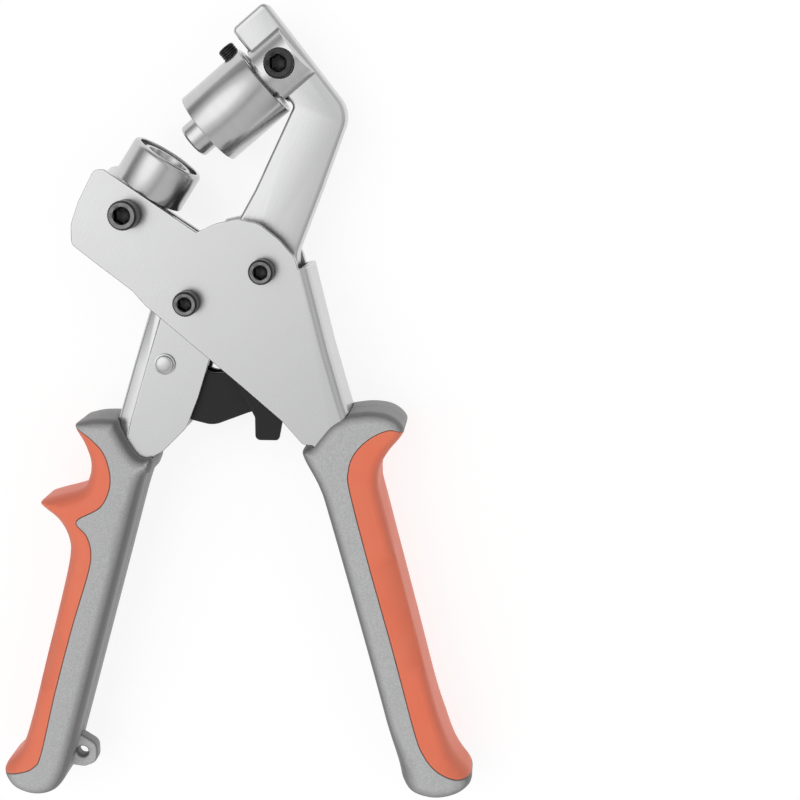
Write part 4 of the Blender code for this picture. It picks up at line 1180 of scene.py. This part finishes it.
def add_punch_head():
    """The turned head. Its forked shank straddles the end of the arm."""
    neck = HEAD_RADIUS - 1.6
    profile = [
        (0.0, SHANK_END), *lip(SHANK_RADIUS, SHANK_END, (-0.5, 0.0), (-0.15, 0.15), (0.0, 0.5)),
        *lip(SHANK_RADIUS, HEAD_SHOULDER, (0.0, -1.7), (-0.3, -1.6), (-3.4, -1.3), (-3.4, 0.6)),
        (neck, HEAD_SHOULDER + 0.6), (neck + 0.2, HEAD_SHOULDER),
        *lip(HEAD_RADIUS, HEAD_SHOULDER, (-0.5, 0.0), (-0.15, 0.15), (0.0, 0.5)),
        *lip(HEAD_RADIUS, HEAD_RIM, (0.0, -0.5), (-0.15, -0.15), (-0.5, 0.0)), (0.0, HEAD_RIM),
    ]
    head = laid(turned(profile, 160), HEAD_ANGLE)
    first = ARM_SIDE_INNER + GAP
    last = SHANK_END - 5.0
    spots = ((first, -20.0), (first, 20.0), (last, 20.0), (last, -20.0))
    rim = [along(HEAD_ANGLE, d, LINE_OFFSET + side) for d, side in spots]
    slot = prism(rim, ARM_FRONT + GAP, ARM_BACK - GAP)
    ends = joined(sloped_end(ARM_FRONT, 1.0), sloped_end(ARM_BACK, -25.0))
    bore = laid(turned([(0.0, -39.0), (4.4, -39.0), (4.4, -10.0), (0.0, -10.0)]), HEAD_ANGLE)
    spot = cylinder(HEAD_SCREW, 5.2, SPOT_FACE, 10.0)
    through = cylinder(HEAD_SCREW, 3.2, 5.0, -30.0)
    side_hole = turned([(0.0, 2.0), (3.2, 2.0), (3.2, 20.0), (0.0, 20.0)])
    laid(side_hole, HEAD_ANGLE, SET_SCREW_ALONG, ASIDE)
    piece(
        "turned_head", head, "jaw", PUNCH_STEEL, "punch_head",
        cuts=(slot, bore, spot, through, side_hole, ends),
    )


def add_punch_pin():
    face = HEAD_RIM + GAP
    profile = [
        (0.0, -30.0), (3.8, -30.0), (4.1, -29.7), (4.1, face), (5.95, face),
        (6.1, face + 0.15), (6.1, -8.5), (6.05, -8.2), (5.85, -7.9), (5.5, -7.65),
        (4.9, -7.45), (4.0, -7.3), (0.0, -7.2),
    ]
    pin = laid(turned(profile, 96), HEAD_ANGLE)
    piece("punch_tip", pin, "jaw", PUNCH_STEEL, "punch_pin")


def add_head_screws():
    seat = SPOT_FACE + GAP
    cap_screw("head_screw", HEAD_SCREW, 6.0, 5.0, 6.0, seat, -22.0, 5.0, "jaw", BLACK_OXIDE)
    threads = []
    pitch = 0.8
    height = 5.1
    while height < 15.6:
        threads += [(3.0, height), (3.0, height + 0.2 * pitch), (2.75, height + 0.6 * pitch)]
        height += pitch
    profile = [(0.0, 4.5), (2.4, 4.5)] + threads
    profile += [
        (3.0, 16.1), (2.6, 16.6), (1.9, 16.6), (hexagon(3.0), 16.4), (hexagon(3.0), 14.2),
        (0.0, 13.6),
    ]
    grub = laid(turned(profile, 90), HEAD_ANGLE, SET_SCREW_ALONG, ASIDE)
    piece("grub_screw", grub, "jaw", BLACK_OXIDE, "head_set_screw", angle=30.0)


# ---- scene

FLOOR_GAP = 0.0002
FLOOR_REACH = 3.0
FLOOR_GLOW = 0.81
CAMERA_EYE = (80.14, 58.2, 510.0)
CAMERA_TARGET = (46.14, -43.8, 0.0)
CAMERA_LENS = 68.98
SIDE_FLAG = [(0.0, 0.33), (20.0, 0.45), (34.0, 0.73), (48.0, 0.85)]


def finish_plain_nodes():
    """Gives the carried-over CAD nodes their material."""
    steel = steel_look()
    for name in (
        "jaw_pivot_bushing", "lever_pivot_bushing", "jaw_spacer_front", "jaw_spacer_back",
        "lever_spacer_front", "lever_spacer_back", "latch_pin", "latch_catch_pin", "tail_pin",
    ):
        for slot in frame["nodes"][name].material_slots:
            slot.material = steel


def add_floor():
    n = new_look("pale_floor")
    soft = n.noise(30.0, 2.0)
    colour = n.mix(soft, (0.23, 0.23, 0.23), (0.24, 0.24, 0.24))
    white = (1.0, 1.0, 1.0, 1.0)
    look = n.finish(colour, 0.7, Emission_Color=white, Emission_Strength=FLOOR_GLOW)
    shape = bmesh.new()
    for x, y in ((-1.0, -1.0), (1.0, -1.0), (1.0, 1.0), (-1.0, 1.0)):
        shape.verts.new((x * FLOOR_REACH, y * FLOOR_REACH, 0.0))
    shape.faces.new(list(shape.verts))
    floor = scene_object("floor", mesh_of("floor", shape))
    floor.location.z = CAD_BOX[0][2] - FLOOR_GAP
    floor.data.materials.append(look)


def add_studio():
    """A pale dome, brightest high on the left, with a greyer ring round the bright part and dark
    flags to the sides and behind."""
    world = bpy.data.worlds.new("studio")
    bpy.context.scene.world = world
    n = Nodes(world, "Generated")

    def band(direction, stops):
        """A grey level by how closely the sky direction follows this one."""
        aim = n.vector("DOT_PRODUCT", n.place, Vector(direction).normalized())
        ramp = n.add("ShaderNodeValToRGB")
        n.link(n.calc("MAXIMUM", aim, 0.0), ramp.inputs["Fac"])
        ramp.color_ramp.interpolation = "EASE"
        levels = ramp.color_ramp.elements
        while len(levels) < len(stops):
            levels.new(0.5)
        for level, (degrees, grey) in zip(levels, reversed(stops)):
            level.position = math.cos(math.radians(degrees))
            level.color = (grey, grey, grey, 1.0)
        return ramp.outputs["Color"]

    high_left = (-0.44, 0.16, 0.88)
    cap = band(high_left, [(0.0, 0.80), (19.0, 0.78), (23.0, 0.36), (31.0, 0.12), (44.0, 0.0)])
    left = band((-0.95, 0.30, 0.0), SIDE_FLAG)
    right = band((0.95, -0.30, 0.0), SIDE_FLAG)
    behind = band((0.0, 1.0, 0.0), [(0.0, 0.4), (25.0, 0.5), (50.0, 1.0)])
    ring = band(high_left, [(0.0, 1.0), (36.0, 1.0), (46.0, 0.62), (56.0, 1.0), (89.0, 1.0)])
    dome = left
    for shade in (right, behind, ring):
        dome = n.vector("MULTIPLY", dome, shade)
    n.link(n.vector("ADD", dome, cap), n.tree.nodes["Background"].inputs["Color"])


def add_camera():
    """Looks down from high above, to the right of the tool's middle and nearer the jaw."""
    data = bpy.data.cameras.new("camera")
    data.lens = CAMERA_LENS
    data.sensor_width = 36.0
    data.clip_start = 0.01
    camera = scene_object("camera", data)
    eye = ORIGIN + Vector(CAMERA_EYE) * MM
    target = ORIGIN + Vector(CAMERA_TARGET) * MM
    back = (eye - target).normalized()
    right = Vector((0.0, 1.0, 0.0)).cross(back).normalized()
    up = back.cross(right)
    turn = Matrix((right, up, back)).transposed().to_4x4()
    camera.matrix_world = Matrix.Translation(eye) @ turn
    bpy.context.scene.camera = camera


add_camera()
add_studio()
add_floor()
add_frame_channel()
add_frame_screws()
add_die()
add_fixed_handle()
add_lever_channel()
add_link_rivet()
add_lever_handle()
add_links()
add_storage_latch()
add_jaw_arm()
add_punch_head()
add_punch_pin()
add_head_screws()
finish_plain_nodes()
bpy.context.scene.view_settings.view_transform = "Standard"
